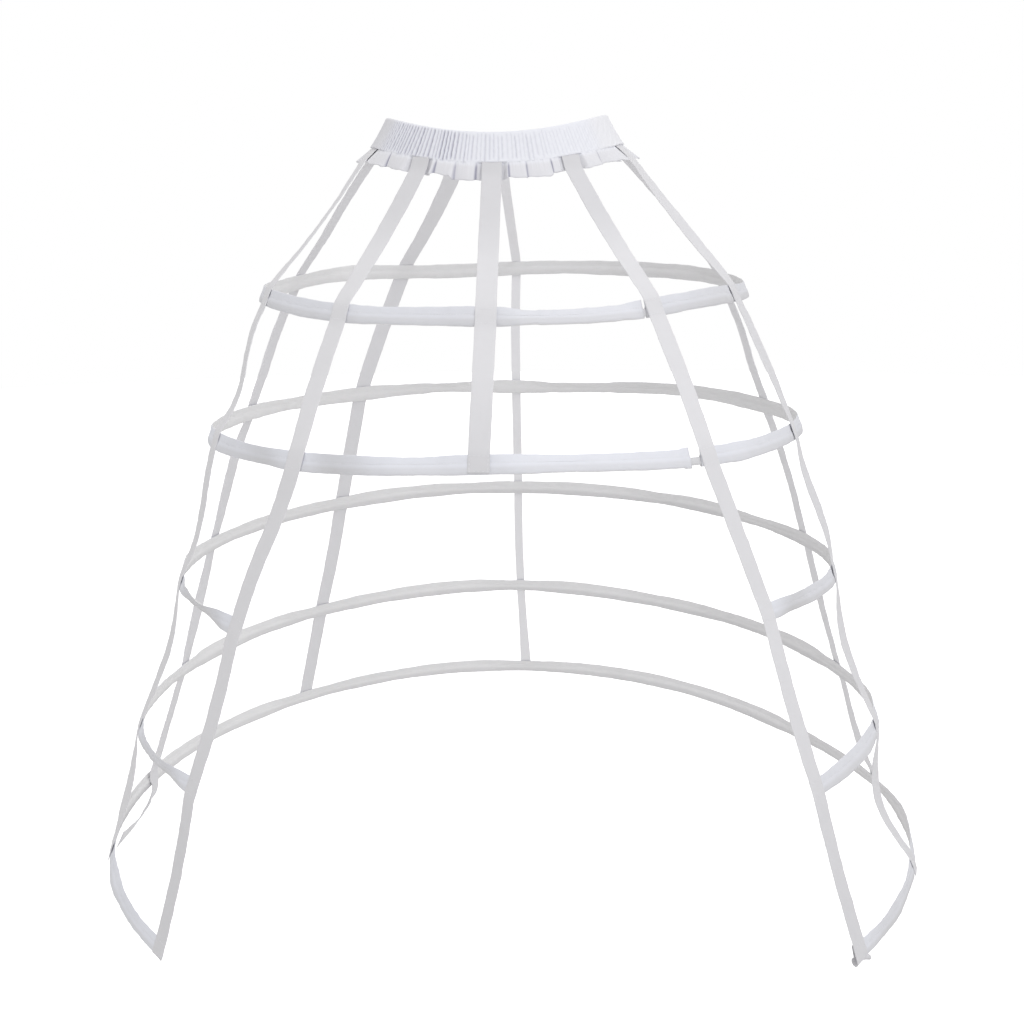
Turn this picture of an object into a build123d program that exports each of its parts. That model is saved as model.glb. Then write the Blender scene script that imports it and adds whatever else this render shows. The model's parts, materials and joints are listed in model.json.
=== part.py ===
# Crinoline cage: a gathered elastic waistband, nine flat tapes and five hoops of boning in fabric casings.
# The two upper hoops are closed rings. The three lower hoops are open at the front.
# Millimetres, +Z up. The front of the cage faces -Y and the origin is the middle of the waist.
# Angles round the cage are in degrees from the front, positive towards +X.
from build123d import *
import os
from math import atan2, ceil, cos, degrees, floor, pi, radians, sin

os.makedirs("parts", exist_ok=True)

# Hoops: radius of the casing's outer face, drop below the waist, shift to the back, and lean of the
# hoop's plane, with the back raised
hoop_1_radius, hoop_1_drop, hoop_1_back, hoop_1_lean = 273.0, 164.0, 14.0, 2.8
hoop_2_radius, hoop_2_drop, hoop_2_back, hoop_2_lean = 329.0, 313.0, -23.0, -0.2
hoop_3_radius, hoop_3_drop, hoop_3_back, hoop_3_lean = 375.0, 475.0, -16.0, 0.6
hoop_4_radius, hoop_4_drop, hoop_4_back, hoop_4_lean = 426.0, 645.0, -12.0, 1.5
hoop_5_radius, hoop_5_drop, hoop_5_back, hoop_5_lean = 480.0, 805.0, 4.0, 2.5
hang_offset = 5.0
bend_angle = 5.0

# Casing: a folded strip of cloth with a channel for the bone in its lower half
casing_height = 19.0
casing_wall = 0.8
casing_flange = 1.1
casing_end_cover = 9.0

# Bone: flat strip, with its clearance in the channel
bone_width = 8.0
bone_thickness = 1.2
bone_clearance = 0.3
bone_above_fold = 1.6
bone_end_gap = 1.0

# Joining sleeve on the bones of the closed hoops, and tips on the ends of the open ones
joiner_length = 36.0
joiner_wall = 0.3
joiner_clearance = 0.1
tip_length = 12.0

# Gap between the casing's two ends beside the front right tape: a seam on hoop 1, a bared bone on hoop 2
casing_seam_gap = 2.0
bare_gap = 9.0

# Tapes
tape_width = 21.0
tape_thickness = 0.7
back_tape_width = 12.0
back_tape_foot_width = 16.0
seam_clearance = 0.05
tape_foot = 1.0
front_left_tip = 6.0
centre_tab_short = 1.5
end_tab_rise = 16.0
end_tab_drop = 3.0

# Tail of the rear side left tape, which hangs inside hoop 5 and is caught further forward
tail_sag = 17.0
tail_inset = 13.0
# Slack of the side right tape above hoop 5
slack_inset = 11.0

# Angle of each tape at the waist and at each hoop that it crosses
centre_front_angles = (-1.0, -2.0, -3.0)
front_left_angles = (-34.0, -35.0, -37.0, -44.5, -48.5, -48.0)
front_right_angles = (35.0, 35.0, 38.0, 45.5, 49.0, 50.0)
side_left_angles = (-73.0, -75.0, -71.0, -74.0, -75.0, -79.0)
side_right_angles = (74.0, 75.0, 71.0, 75.0, 74.0, 76.0)
rear_side_left_angles = (-106.0, -111.0, -107.0, -103.0, -99.0)
rear_side_left_tail = (-100.5, -98.0, -93.0, -86.0)
rear_side_right_angles = (106.0, 107.0, 104.0, 101.0, 96.0, 101.5)
back_left_angles = (-156.0, -148.0, -142.0, -141.5, -140.0, -139.0)
centre_back_angles = (178.0, 178.0, 178.0, 178.0, 178.0, 178.0)

# Waistband: an oval band of gathered cloth that dips at the front and the back, with a ruffle below it
band_height = 31.0
band_wall = 5.0
band_top_half_width = 123.0
band_top_half_depth = 106.0
band_seam_half_width = 139.5
band_seam_half_depth = 122.0
band_top_rise = 13.5
band_dip = 11.0
pleat_count = 88
pleat_depth = 0.9
ruffle_drop = 15.0
ruffle_flare = 9.0
ruffle_inset = 1.6
ruffle_wave = 2.4
ruffle_cloth = 1.0
flute_count = 22
columns_per_pleat = 2
elastic_height = 25.0
elastic_thickness = 1.5
elastic_clearance = 0.2
elastic_inset = 1.8
elastic_below_top = 3.0
elastic_columns = 44


class Hoop:
    """One hoop: its plane, radius and the slope of its casing."""

    def __init__(self, radius, drop, back, lean, slope):
        tilt = radians(lean)
        self.radius = radius
        self.slope = slope
        self.plane = Plane(
            origin=(hang_offset, back, -drop), x_dir=(1, 0, 0), z_dir=(0, -sin(tilt), cos(tilt))
        )

    def outward(self, angle):
        """Direction away from the hoop's axis at an angle from the front."""
        a = radians(angle)
        return self.plane.x_dir * sin(a) - self.plane.y_dir * cos(a)

    def along(self, angle):
        """Direction along the hoop, to the side of growing angle."""
        a = radians(angle)
        return self.plane.x_dir * cos(a) + self.plane.y_dir * sin(a)

    def uphill(self, angle):
        """Direction up the sloping face of the casing."""
        return self.plane.z_dir * cos(self.slope) - self.outward(angle) * sin(self.slope)

    def normal(self, angle):
        """Direction out of the sloping face of the casing."""
        return self.outward(angle) * cos(self.slope) + self.plane.z_dir * sin(self.slope)

    def face_point(self, angle, out, up):
        """A point by its distance out of the casing's outer face and up that face from its middle."""
        middle = self.plane.origin + self.outward(angle) * self.radius
        return middle + self.normal(angle) * out + self.uphill(angle) * up

    def degrees_of(self, length):
        """Angle that a length takes along the hoop."""
        return degrees(length / self.radius)


def slope_between(upper_radius, upper_drop, lower_radius, lower_drop):
    return atan2(lower_radius - upper_radius, lower_drop - upper_drop)


slope_1 = slope_between(hoop_1_radius, hoop_1_drop, hoop_2_radius, hoop_2_drop)
slope_2 = slope_between(hoop_2_radius, hoop_2_drop, hoop_3_radius, hoop_3_drop)
slope_3 = slope_between(hoop_3_radius, hoop_3_drop, hoop_4_radius, hoop_4_drop)
slope_4 = slope_between(hoop_4_radius, hoop_4_drop, hoop_5_radius, hoop_5_drop)

hoops = [
    Hoop(hoop_1_radius, hoop_1_drop, hoop_1_back, hoop_1_lean, slope_1),
    Hoop(hoop_2_radius, hoop_2_drop, hoop_2_back, hoop_2_lean, slope_2),
    Hoop(hoop_3_radius, hoop_3_drop, hoop_3_back, hoop_3_lean, slope_3),
    Hoop(hoop_4_radius, hoop_4_drop, hoop_4_back, hoop_4_lean, slope_4),
    Hoop(hoop_5_radius, hoop_5_drop, hoop_5_back, hoop_5_lean, slope_4),
]

# Sizes of the casing's section, worked out from the bone that it holds
channel_width = bone_width + 2 * bone_clearance
channel_depth = bone_thickness + 2 * bone_clearance
casing_depth = channel_depth + 2 * casing_wall
half_height = casing_height / 2
channel_middle = -half_height + bone_above_fold + channel_width / 2
bone_out = -(casing_wall + channel_depth / 2)


# The waistband's surfaces
def pleat(column):
    """In and out of the gathered cloth: every second column stands proud."""
    return pleat_depth / 2 if column % 2 else -pleat_depth / 2


def flute(column):
    """In and out of the ruffle, as a share of its wave."""
    return cos(2 * pi * flute_count * column / (pleat_count * columns_per_pleat))


def band_height_at(turn):
    """Height of the band's top edge, which dips at the front and the back."""
    return band_top_rise - band_dip * cos(2 * turn)


def band_point(turn, down, inward):
    """A point of the band's wall by its distance down from the top edge and in from the outer face."""
    share = down / band_height
    half_width = band_top_half_width + (band_seam_half_width - band_top_half_width) * share
    half_depth = band_top_half_depth + (band_seam_half_depth - band_top_half_depth) * share
    return Vector(
        (half_width - inward) * sin(turn),
        -(half_depth - inward) * cos(turn),
        band_height_at(turn) - down,
    )


def ruffle_point(turn, down, out):
    """A point of the ruffle by its distance down and out from the band's seam."""
    seam = band_point(turn, band_height, 0)
    return Vector(seam.X + out * sin(turn), seam.Y - out * cos(turn), seam.Z - down)


def cloth_section(column, count):
    """Section of the waistband at one column, from the top edge down the outside and up the inside."""
    turn = 2 * pi * column / count
    out = ruffle_flare + ruffle_wave * flute(column)
    return [
        band_point(turn, 0, -pleat(column)),
        band_point(turn, band_height, -pleat(column)),
        band_point(turn, band_height, ruffle_inset),
        ruffle_point(turn, ruffle_drop, out),
        ruffle_point(turn, ruffle_drop, out - ruffle_cloth),
        band_point(turn, band_height, ruffle_inset + ruffle_cloth),
        band_point(turn, band_height, band_wall),
        band_point(turn, 0, band_wall),
    ]


def strip_section(column, count, clearance):
    """Section of the elastic at one column, grown by a clearance."""
    turn = 2 * pi * column / count
    top = elastic_below_top - clearance
    bottom = elastic_below_top + elastic_height + clearance
    near = elastic_inset - clearance
    far = elastic_inset + elastic_thickness + clearance
    corners = ((top, near), (bottom, near), (bottom, far), (top, far))
    return [band_point(turn, down, inward) for down, inward in corners]


def faceted_solid(sections, closed=True):
    """Flat facets through sections with the same number of corners, as a ring or with two ends."""
    faces = []
    corners = len(sections[0])
    following = sections[1:] + sections[:1] if closed else sections[1:]
    if not closed:
        faces += [Face(Wire.make_polygon(end, close=True)) for end in (sections[0], sections[-1])]
    for here, there in zip(sections, following):
        for k in range(corners):
            after = (k + 1) % corners
            quad = (here[k], there[k], there[after], here[after])
            if k >= corners / 2:
                quad = quad[1:] + quad[:1]
            for triangle in ((quad[0], quad[1], quad[2]), (quad[0], quad[2], quad[3])):
                faces.append(Face(Wire.make_polygon(triangle, close=True)))
    return Solid(Shell(faces))


# Waistband: one gathered strip with the elastic's channel inside its wall
column_count = pleat_count * columns_per_pleat
with BuildPart() as waistband:
    add(faceted_solid([cloth_section(c, column_count) for c in range(column_count)]))
    channel = [strip_section(c, elastic_columns, elastic_clearance) for c in range(elastic_columns)]
    add(faceted_solid(channel), mode=Mode.SUBTRACT)
waistband.part.label = "waistband"
export_step(waistband.part, "parts/waistband.step")

# Elastic: a closed loop inside the waistband
with BuildPart() as waist_elastic:
    add(faceted_solid([strip_section(c, elastic_columns, 0) for c in range(elastic_columns)]))
waist_elastic.part.label = "waist_elastic"
export_step(waist_elastic.part, "parts/waist_elastic.step")


# Hoops
def bent_outline(hoop, angle, corners):
    """An outline of (out, up) corners at an angle round a hoop, on the straight between two bends."""
    bend = floor(angle / bend_angle)
    share = angle / bend_angle - bend
    outline = []
    for out, up in corners:
        here = hoop.face_point(bend * bend_angle, out, up)
        there = hoop.face_point((bend + 1) * bend_angle, out, up)
        outline.append(here + (there - here) * share)
    return outline


def carry_round(hoop, start, arc, corners):
    """Carry an outline round a hoop. All the pieces of a hoop bend at the same angles."""
    end = start + arc
    first, last = floor(start / bend_angle) + 1, ceil(end / bend_angle)
    angles = [start] + [k * bend_angle for k in range(first, last)] + [end]
    return faceted_solid([bent_outline(hoop, a, corners) for a in angles], closed=False)


def box_outline(width, height):
    """Outline of a strip or channel that lies round the middle of the bone."""
    near, far = bone_out + width / 2, bone_out - width / 2
    bottom, top = channel_middle - height / 2, channel_middle + height / 2
    return ((near, bottom), (near, top), (far, top), (far, bottom))


def make_casing(hoop, start, arc, end_cover, joiner_angle=None):
    """A casing: flat outside, thick over the bone, thin at its flange, with the bone's channel."""
    folded_edge = -half_height + casing_wall
    channel_top = channel_middle + channel_width / 2
    outline = (
        (0, -half_height),
        (0, half_height),
        (-casing_flange, half_height),
        (-casing_depth, channel_top + casing_wall),
        (-casing_depth, folded_edge),
    )
    cover = hoop.degrees_of(end_cover)
    with BuildPart() as casing:
        add(carry_round(hoop, start, arc, outline))
        channel = carry_round(
            hoop, start + cover, arc - 2 * cover, box_outline(channel_depth, channel_width)
        )
        add(channel, mode=Mode.SUBTRACT)
        if joiner_angle is not None:
            room = hoop.degrees_of(joiner_length + 2 * bone_clearance)
            pocket = box_outline(sleeve_depth + 2 * joiner_clearance, sleeve_width + 2 * joiner_clearance)
            add(carry_round(hoop, joiner_angle - room / 2, room, pocket), mode=Mode.SUBTRACT)
    return casing.part


def make_bone(hoop, start, arc):
    """A bone: one flat strip, bent round the hoop."""
    with BuildPart() as bone:
        add(carry_round(hoop, start, arc, box_outline(bone_thickness, bone_width)))
    return bone.part


def make_sleeve(hoop, middle):
    """A joining sleeve round the bone's two ends, open at both of its own."""
    length = hoop.degrees_of(joiner_length)
    start = middle - length / 2
    inside = box_outline(bone_thickness + 2 * joiner_clearance, bone_width + 2 * joiner_clearance)
    with BuildPart() as sleeve:
        add(carry_round(hoop, start, length, box_outline(sleeve_depth, sleeve_width)))
        add(carry_round(hoop, start, length, inside), mode=Mode.SUBTRACT)
    return sleeve.part


sleeve_depth = bone_thickness + 2 * joiner_clearance + 2 * joiner_wall
sleeve_width = bone_width + 2 * joiner_clearance + 2 * joiner_wall


def write(part, name):
    """Name a finished piece and write its file."""
    part.label = name
    export_step(part, f"parts/{name}.step")


def write_closed_hoop(number, hoop, tape_angle, gap):
    """A closed hoop. Its casing starts under the tape's edge and stops a gap short of it."""
    casing_start = tape_angle - hoop.degrees_of(tape_width / 2)
    casing_arc = 360 - hoop.degrees_of(gap)
    joiner_angle = tape_angle + hoop.degrees_of(joiner_length)
    bone_arc = 360 - hoop.degrees_of(bone_end_gap)
    write(make_casing(hoop, casing_start, casing_arc, 0, joiner_angle), f"hoop_{number}_casing")
    write(make_bone(hoop, joiner_angle, bone_arc), f"hoop_{number}_bone")
    write(make_sleeve(hoop, joiner_angle), f"hoop_{number}_joiner")


def write_open_hoop(number, hoop, right_angle, left_angle):
    """The casing, the bone and the two bone tips of an open hoop, from the right tape round the back."""
    reach = hoop.degrees_of(tape_width / 2)
    start = right_angle - reach
    arc = 360 + left_angle + reach - start
    write(make_casing(hoop, start, arc, casing_end_cover), f"hoop_{number}_casing")
    margin = hoop.degrees_of(casing_end_cover + bone_clearance)
    tip = hoop.degrees_of(tip_length)
    bone_start = start + margin + tip
    bone_arc = arc - 2 * margin - 2 * tip
    write(make_bone(hoop, bone_start, bone_arc), f"hoop_{number}_bone")
    tips = Compound(children=[
        make_bone(hoop, bone_start - tip, tip),
        make_bone(hoop, bone_start + bone_arc, tip),
    ])
    write(tips, f"hoop_{number}_bone_tips")


write_closed_hoop(1, hoops[0], front_right_angles[1], casing_seam_gap)
write_closed_hoop(2, hoops[1], front_right_angles[2], bare_gap)
for number, hoop in enumerate(hoops[2:], start=3):
    write_open_hoop(number, hoop, front_right_angles[number], front_left_angles[number])


# Tapes
def station(point, across, normal, width=tape_width):
    """The four corners of a tape's section: its width runs along one way and its face looks the other."""
    side = across.normalized() * (width / 2)
    face = normal.normalized() * (tape_thickness / 2)
    return [point + side + face, point - side + face, point - side - face, point + side - face]


def waist_station(angle, width=tape_width):
    """The tape's sewn end, in front of the ruffle and against the band's lower edge."""
    turn = radians(angle)
    inset = ruffle_inset - seam_clearance - tape_thickness / 2
    reach = (width / 2) / band_seam_half_width
    down = band_height + seam_clearance
    right = band_point(turn + reach, down, inset)
    left = band_point(turn - reach, down, inset)
    return station(band_point(turn, down, inset), right - left, Vector(sin(turn), -cos(turn), 0), width)


def crossing_stations(hoop, angle, below=half_height, width=tape_width):
    """Two sections over the outside of a casing, at its upper and lower edges."""
    out = seam_clearance + tape_thickness / 2
    return [
        station(hoop.face_point(angle, out, half_height), hoop.along(angle), hoop.normal(angle), width),
        station(hoop.face_point(angle, out, -below), hoop.along(angle), hoop.normal(angle), width),
    ]


def make_tape(stations):
    """A flat tape of facets through its sections."""
    with BuildPart() as tape:
        add(faceted_solid(stations, closed=False))
    return tape.part


def plain_route(angles, last_below=half_height + tape_foot, width=tape_width, last_width=tape_width):
    """A tape from the waist over every hoop that it has an angle for."""
    route = [waist_station(angles[0], width)]
    last = len(angles) - 1
    for k, angle in enumerate(angles[1:], start=1):
        below = last_below if k == last else half_height
        route += crossing_stations(hoops[k - 1], angle, below, last_width if k == last else width)
    return route


def end_tab_stations(hoop, angle):
    """The folded tab: the tape turns under the end of the hoop and is sewn up its inner face."""
    outer = seam_clearance + tape_thickness / 2
    under = -half_height - end_tab_drop
    inner = -casing_depth - seam_clearance - tape_thickness
    across = hoop.along(angle)
    inward = hoop.normal(angle) * -1
    down = hoop.uphill(angle) * -1
    return [
        station(hoop.face_point(angle, outer, under), across, down - inward),
        station(hoop.face_point(angle, inner, under), across, down + inward),
        station(hoop.face_point(angle, inner, under + end_tab_rise), across, inward),
    ]


def tail_stations(hoop, tail):
    """The slack tail: down inside the hoop, forward in a sag below it, and up to where it is caught."""
    inner = -casing_depth - seam_clearance - tape_thickness
    spots = (
        hoop.face_point(tail[0], inner - tail_inset, half_height),
        hoop.face_point(tail[1], inner - tail_inset, -tail_sag / 2),
        hoop.face_point(tail[2], inner - tail_inset, -tail_sag),
        hoop.face_point(tail[3], inner, 0),
    )
    runs = [
        hoop.uphill(tail[0]) * -1,
        spots[2] - spots[0],
        spots[3] - spots[1],
        spots[3] - spots[2],
    ]
    sections = []
    for angle, spot, run in zip(tail, spots, runs):
        sections.append(station(spot, hoop.normal(angle).cross(run), hoop.normal(angle)))
    return sections


def slack_route(angles):
    """The side right tape: like the others, but slack above hoop 5, so it hangs in before it ends."""
    upper, lower, angle = hoops[3], hoops[4], angles[-1]
    left = upper.face_point(angles[-2], 0, -half_height)
    reached = lower.face_point(angle, 0, half_height)
    middle = (left + reached) * 0.5 - lower.outward(angle) * slack_inset
    slack = station(middle, lower.along(angle), lower.outward(angle))
    return plain_route(angles)[:-2] + [slack] + plain_route(angles)[-2:]


write(
    make_tape(plain_route(centre_front_angles, half_height - centre_tab_short)), "centre_front_tape"
)
write(
    make_tape(plain_route(front_left_angles, half_height + front_left_tip)), "front_left_tape"
)
right_route = plain_route(front_right_angles, half_height)
write(make_tape(right_route + end_tab_stations(hoops[4], front_right_angles[5])), "front_right_tape")
write(make_tape(plain_route(side_left_angles)), "side_left_tape")
write(make_tape(slack_route(side_right_angles)), "side_right_tape")
rear_left_route = plain_route(rear_side_left_angles, half_height)
rear_left_tail = tail_stations(hoops[4], rear_side_left_tail)
write(make_tape(rear_left_route + rear_left_tail), "rear_side_left_tape")
write(make_tape(plain_route(rear_side_right_angles)), "rear_side_right_tape")
write(make_tape(plain_route(back_left_angles)), "back_left_tape")
write(
    make_tape(plain_route(
        centre_back_angles, width=back_tape_width, last_width=back_tape_foot_width
    )),
    "centre_back_tape",
)
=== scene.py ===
"""Looks of the crinoline cage: cloth, tapes, boning, thread and a plain light studio.

Lengths are millimetres in the row frame, with the waist's middle at the origin, +Z up and the front of the
cage towards -Y. Angles round the cage are degrees from the front, positive towards +X. Meshes are written
in metres. Every soft CAD node is replaced by a piece of the same size built here.
"""

import json
import logging
import math
from abc import ABC, abstractmethod
from dataclasses import dataclass, field
from enum import Enum
from typing import Dict, List, Optional, Sequence, Tuple

import bpy
import numpy as np
from mathutils import Matrix, Vector

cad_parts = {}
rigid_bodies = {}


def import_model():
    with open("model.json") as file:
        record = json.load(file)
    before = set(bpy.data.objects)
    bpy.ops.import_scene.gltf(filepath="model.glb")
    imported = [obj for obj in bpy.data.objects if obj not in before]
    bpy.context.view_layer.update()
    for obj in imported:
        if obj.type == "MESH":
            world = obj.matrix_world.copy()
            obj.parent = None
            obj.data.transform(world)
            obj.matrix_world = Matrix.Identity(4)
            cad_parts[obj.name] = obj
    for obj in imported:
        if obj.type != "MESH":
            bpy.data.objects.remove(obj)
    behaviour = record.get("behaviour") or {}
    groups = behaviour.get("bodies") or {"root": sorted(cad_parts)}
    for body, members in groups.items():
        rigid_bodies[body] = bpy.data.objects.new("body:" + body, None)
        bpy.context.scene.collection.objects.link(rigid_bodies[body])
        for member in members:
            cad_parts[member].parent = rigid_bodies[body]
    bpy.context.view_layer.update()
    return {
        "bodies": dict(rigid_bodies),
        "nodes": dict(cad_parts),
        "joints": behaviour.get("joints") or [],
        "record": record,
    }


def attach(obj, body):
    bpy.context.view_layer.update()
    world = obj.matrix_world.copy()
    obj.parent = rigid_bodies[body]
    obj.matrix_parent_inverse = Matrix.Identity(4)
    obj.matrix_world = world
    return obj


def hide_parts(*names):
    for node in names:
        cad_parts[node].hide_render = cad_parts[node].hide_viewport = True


LOG = logging.getLogger("crinoline")
MM = 0.001
Array = np.ndarray
Rgb = Tuple[float, float, float]
Terms = Tuple[Tuple[int, float, float], ...]


# ----- small helpers --------------------------------------------------------------------------------------


def smooth_step(low: float, high: float, value: Array) -> Array:
    """Eases from 0 to 1 between two values."""
    t = np.clip((np.asarray(value, float) - low) / (high - low), 0.0, 1.0)
    return t * t * (3 - 2 * t)


def unit(vectors: Array) -> Array:
    """Vectors scaled to length 1."""
    return vectors / np.maximum(np.linalg.norm(vectors, axis=-1, keepdims=True), 1e-12)


def apart(angle: Array, other: float) -> Array:
    """Degrees between angles and another angle, the short way round."""
    return np.abs((angle - other + 180) % 360 - 180)


def eased(values: Array, times: int) -> Array:
    """Rounds the bends of a path by averaging each value with its neighbours. The ends stay."""
    for _ in range(times):
        middle = (values[:-2] + 2 * values[1:-1] + values[2:]) / 4
        values = np.concatenate([values[:1], middle, values[-1:]])
    return values


@dataclass(frozen=True)
class Noise:
    """Smooth repeatable noise: its size, its longest wave, its seed and how many waves it sums."""

    size: float
    longest: float
    seed: int
    octaves: int = 4

    def at(self, position: Array, shift: int = 0) -> Array:
        """A sum of sines that get shorter and smaller, with phases from the seed plus a shift."""
        random = np.random.default_rng(self.seed + shift)
        total = np.zeros_like(np.asarray(position, float))
        for octave in range(self.octaves):
            length = self.longest / (1.7**octave) * random.uniform(0.85, 1.15)
            total += np.sin(2 * np.pi * position / length + random.uniform(0, 2 * np.pi)) / (1.5**octave)
        return self.size * (total / 1.6)


# ----- numbers shared with the CAD part -------------------------------------------------------------------


class Slot(Enum):
    """Material slots of the record."""

    WAISTBAND = "waistband_cloth"
    ELASTIC = "elastic"
    TAPE = "tape"
    CASING = "casing_cloth"
    BONE = "bone"
    JOINER = "joiner"
    TIP = "bone_tip"


class Hold(Enum):
    """How a sheet of cloth is held."""

    GATHERED = "gathered"
    HUNG = "hung"
    FOLDED = "folded"


HANG_OFFSET = 5.0
HALF_HEIGHT = 9.5
CASING_DEPTH = 3.4
BONE_UP = -3.6
BONE_OUT = -1.7
TAPE_WIDTH = 21.0
SEWN_REACH = 13.0


@dataclass(frozen=True)
class HoopShape:
    """A hoop's circle, the lean of its plane, the slope of its casing, its small waves and its twists."""

    number: int
    radius: float
    drop: float
    back: float
    lean: float
    slope: float
    wave_out: Terms
    wave_up: Terms
    twists: Tuple[Tuple[float, float], ...]

    def degrees_of(self, length: float) -> float:
        """Angle that a length takes along the hoop."""
        return math.degrees(length / self.radius)

    def crossings(self) -> List[float]:
        """Angles of the tapes that are sewn on this hoop."""
        return [route.angles[self.number - 1] for route in TAPES if len(route.angles) >= self.number]

    def twist(self, angle: Array) -> Array:
        """How far the casing is turned about its own middle, in radians.

        It eases between the values given for the free stretches and nothing where a tape is sewn on. A
        positive turn moves the upper edge outwards.

        Args:
            angle: Angles in degrees, shape (n,).

        Returns:
            Turns of shape (n,).
        """
        reach = self.degrees_of(SEWN_REACH)
        sewn = [(crossing + way * reach, 0.0) for crossing in self.crossings() for way in (-1, 1)]
        marks = sorted([*self.twists, *sewn])
        places, turns = np.array([*marks, (marks[0][0] + 360, marks[0][1])], float).T
        here = (angle - places[0]) % 360 + places[0]
        before = np.clip(np.searchsorted(places, here, side="right") - 1, 0, len(places) - 2)
        share = smooth_step(0.0, 1.0, (here - places[before]) / (places[before + 1] - places[before]))
        return np.radians(turns[before] * (1 - share) + turns[before + 1] * share)

    def _wave(self, terms: Terms, angle: Array) -> Array:
        """Sum of cosines and sines of whole multiples of the angle."""
        a = np.radians(angle)
        total = np.zeros_like(a)
        for order, cosine, sine in terms:
            total += cosine * np.cos(order * a) + sine * np.sin(order * a)
        return total

    def axes(self, angle: Array) -> Tuple[Array, Array, Array, Array]:
        """Outward, along, uphill and normal directions.

        Args:
            angle: Angles round the hoop in degrees.

        Returns:
            Four arrays of unit vectors, one row for each angle.
        """
        a = np.radians(np.asarray(angle, float))
        tilt, slope = math.radians(self.lean), math.radians(self.slope)
        x_dir = np.array([1.0, 0.0, 0.0])
        y_dir = np.array([0.0, math.cos(tilt), math.sin(tilt)])
        z_dir = np.array([0.0, -math.sin(tilt), math.cos(tilt)])
        outward = np.sin(a)[:, None] * x_dir - np.cos(a)[:, None] * y_dir
        along = np.cos(a)[:, None] * x_dir + np.sin(a)[:, None] * y_dir
        uphill = math.cos(slope) * z_dir - math.sin(slope) * outward
        normal = math.cos(slope) * outward + math.sin(slope) * z_dir
        return outward, along, uphill, normal

    def place(self, angle: Array, out: Array, up: Array) -> Array:
        """Points by their distance out of the casing's face and up that face from its middle.

        The point is the hoop's centre, plus the outward direction times the radius and its small wave, plus
        the vertical wave, plus the normal times out, plus the uphill direction times up. Out and up are
        first turned about the casing's middle by its twist.

        Args:
            angle: Angles in degrees, shape (n,).
            out: Distances out of the face, shape (n,) or (n, k).
            up: Distances up the face, of the same shape as out.

        Returns:
            Points of shape (n, 3) or (n, k, 3).
        """
        angle = np.atleast_1d(np.asarray(angle, float))
        outward, _, uphill, normal = self.axes(angle)
        centre = np.array([HANG_OFFSET, self.back, -self.drop])
        middle = centre + outward * (self.radius + self._wave(self.wave_out, angle))[:, None]
        middle = middle + np.array([0.0, 0.0, 1.0]) * self._wave(self.wave_up, angle)[:, None]
        out, up, turn = np.asarray(out, float), np.asarray(up, float), self.twist(angle)
        if out.ndim == 2 or up.ndim == 2:
            turn, middle, normal, uphill = turn[:, None], middle[:, None], normal[:, None], uphill[:, None]
        out, up = out * np.cos(turn) + up * np.sin(turn), up * np.cos(turn) - out * np.sin(turn)
        return middle + normal * out[..., None] + uphill * up[..., None]


HOOPS = (
    HoopShape(
        1, 273.0, 164.0, 14.0, 2.8, 20.6,
        ((2, -1.2, -1.9), (3, -1.1, -1.2), (4, 0.5, 0.4), (5, 0.8, 0.7), (7, -0.5, 0)),
        ((2, -1.2, 0), (3, -0.5, 0.6), (4, -1.2, -0.3), (5, 0.6, 0), (6, 0.9, -1)),
        ((-130, 13), (-30, -14), (6, -30), (18, -24), (27, -28), (125, 14)),
    ),
    HoopShape(
        2, 329.0, 313.0, -23.0, -0.2, 15.9,
        ((2, -3, -4.1), (3, 0.8, -2.2), (4, 0.8, 1.1), (5, -0.4, 1.2), (6, -0.8, -0.4), (7, 0, -1)),
        ((2, 2.1, -1.1), (3, 1.1, 0.4), (4, 0, 0.8), (5, 1.1, 0), (6, 0.3, 0.6), (7, 0, -0.4)),
        ((-165, -30), (-153, -18), (-120, -10), (-54, 5), (-44, 22), (-28, 26), (-14, -20), (6, -24),
         (16, -28), (28, -18), (50, -14), (120, 4), (144, -20), (156, -28), (168, -30)),
    ),
    HoopShape(
        3, 375.0, 475.0, -16.0, 0.6, 16.7,
        ((2, -1.2, -2.4), (3, 0.3, -1.9), (4, 1, 0), (5, 0, 0.7), (6, -0.9, 0.3)),
        ((2, 3, 1.6), (3, -1.7, 1), (5, 0.5, -0.7), (6, 0.4, -0.7), (7, 0, -0.5)),
        ((-172, -7), (-160, 15), (-150, 16), (-90, 10), (-64, 34), (-55, 56), (54, 22), (62, 7), (90, 12),
         (118, -20), (138, 17), (147, -12), (156, 6), (167, 15)),
    ),
    HoopShape(
        4, 426.0, 645.0, -12.0, 1.5, 18.6,
        ((2, -0.7, 1.5), (3, -2.8, 0.5), (4, 1.1, 0), (5, 1.5, 0), (7, -1.1, -0.5)),
        ((2, 0, 1.3), (3, -4.4, -0.9), (4, -0.4, -0.3), (6, 0.8, 0.5), (7, 0, 0.4)),
        ((-170, 20), (-155, 20), (-128, 27), (-109, 28), (-64, 20), (-56, 34), (56, -16), (64, -16), (72, 4),
         (87, 12), (111, 15), (135, 6), (150, 14), (165, 20)),
    ),
    HoopShape(
        5, 480.0, 805.0, 4.0, 2.5, 18.6,
        ((2, -0.5, 4.6), (3, -0.3, 0.9), (4, 1.2, -0.9), (6, -0.6, 0), (7, 0, -0.3)),
        ((2, 2.5, 2.4), (3, -2, -0.4), (4, 1, -0.7), (5, 0, 0.3), (6, -0.7, 0), (7, -0.3, -0.3)),
        ((-171, 24), (-155, 5), (-129, 28), (-96, 20), (-69, -16), (-58, 3), (56, 10), (66, 8), (87, 16),
         (114, 1), (131, 24), (143, 26), (153, 24), (165, 20)),
    ),
)


# ----- meshes ---------------------------------------------------------------------------------------------


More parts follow.
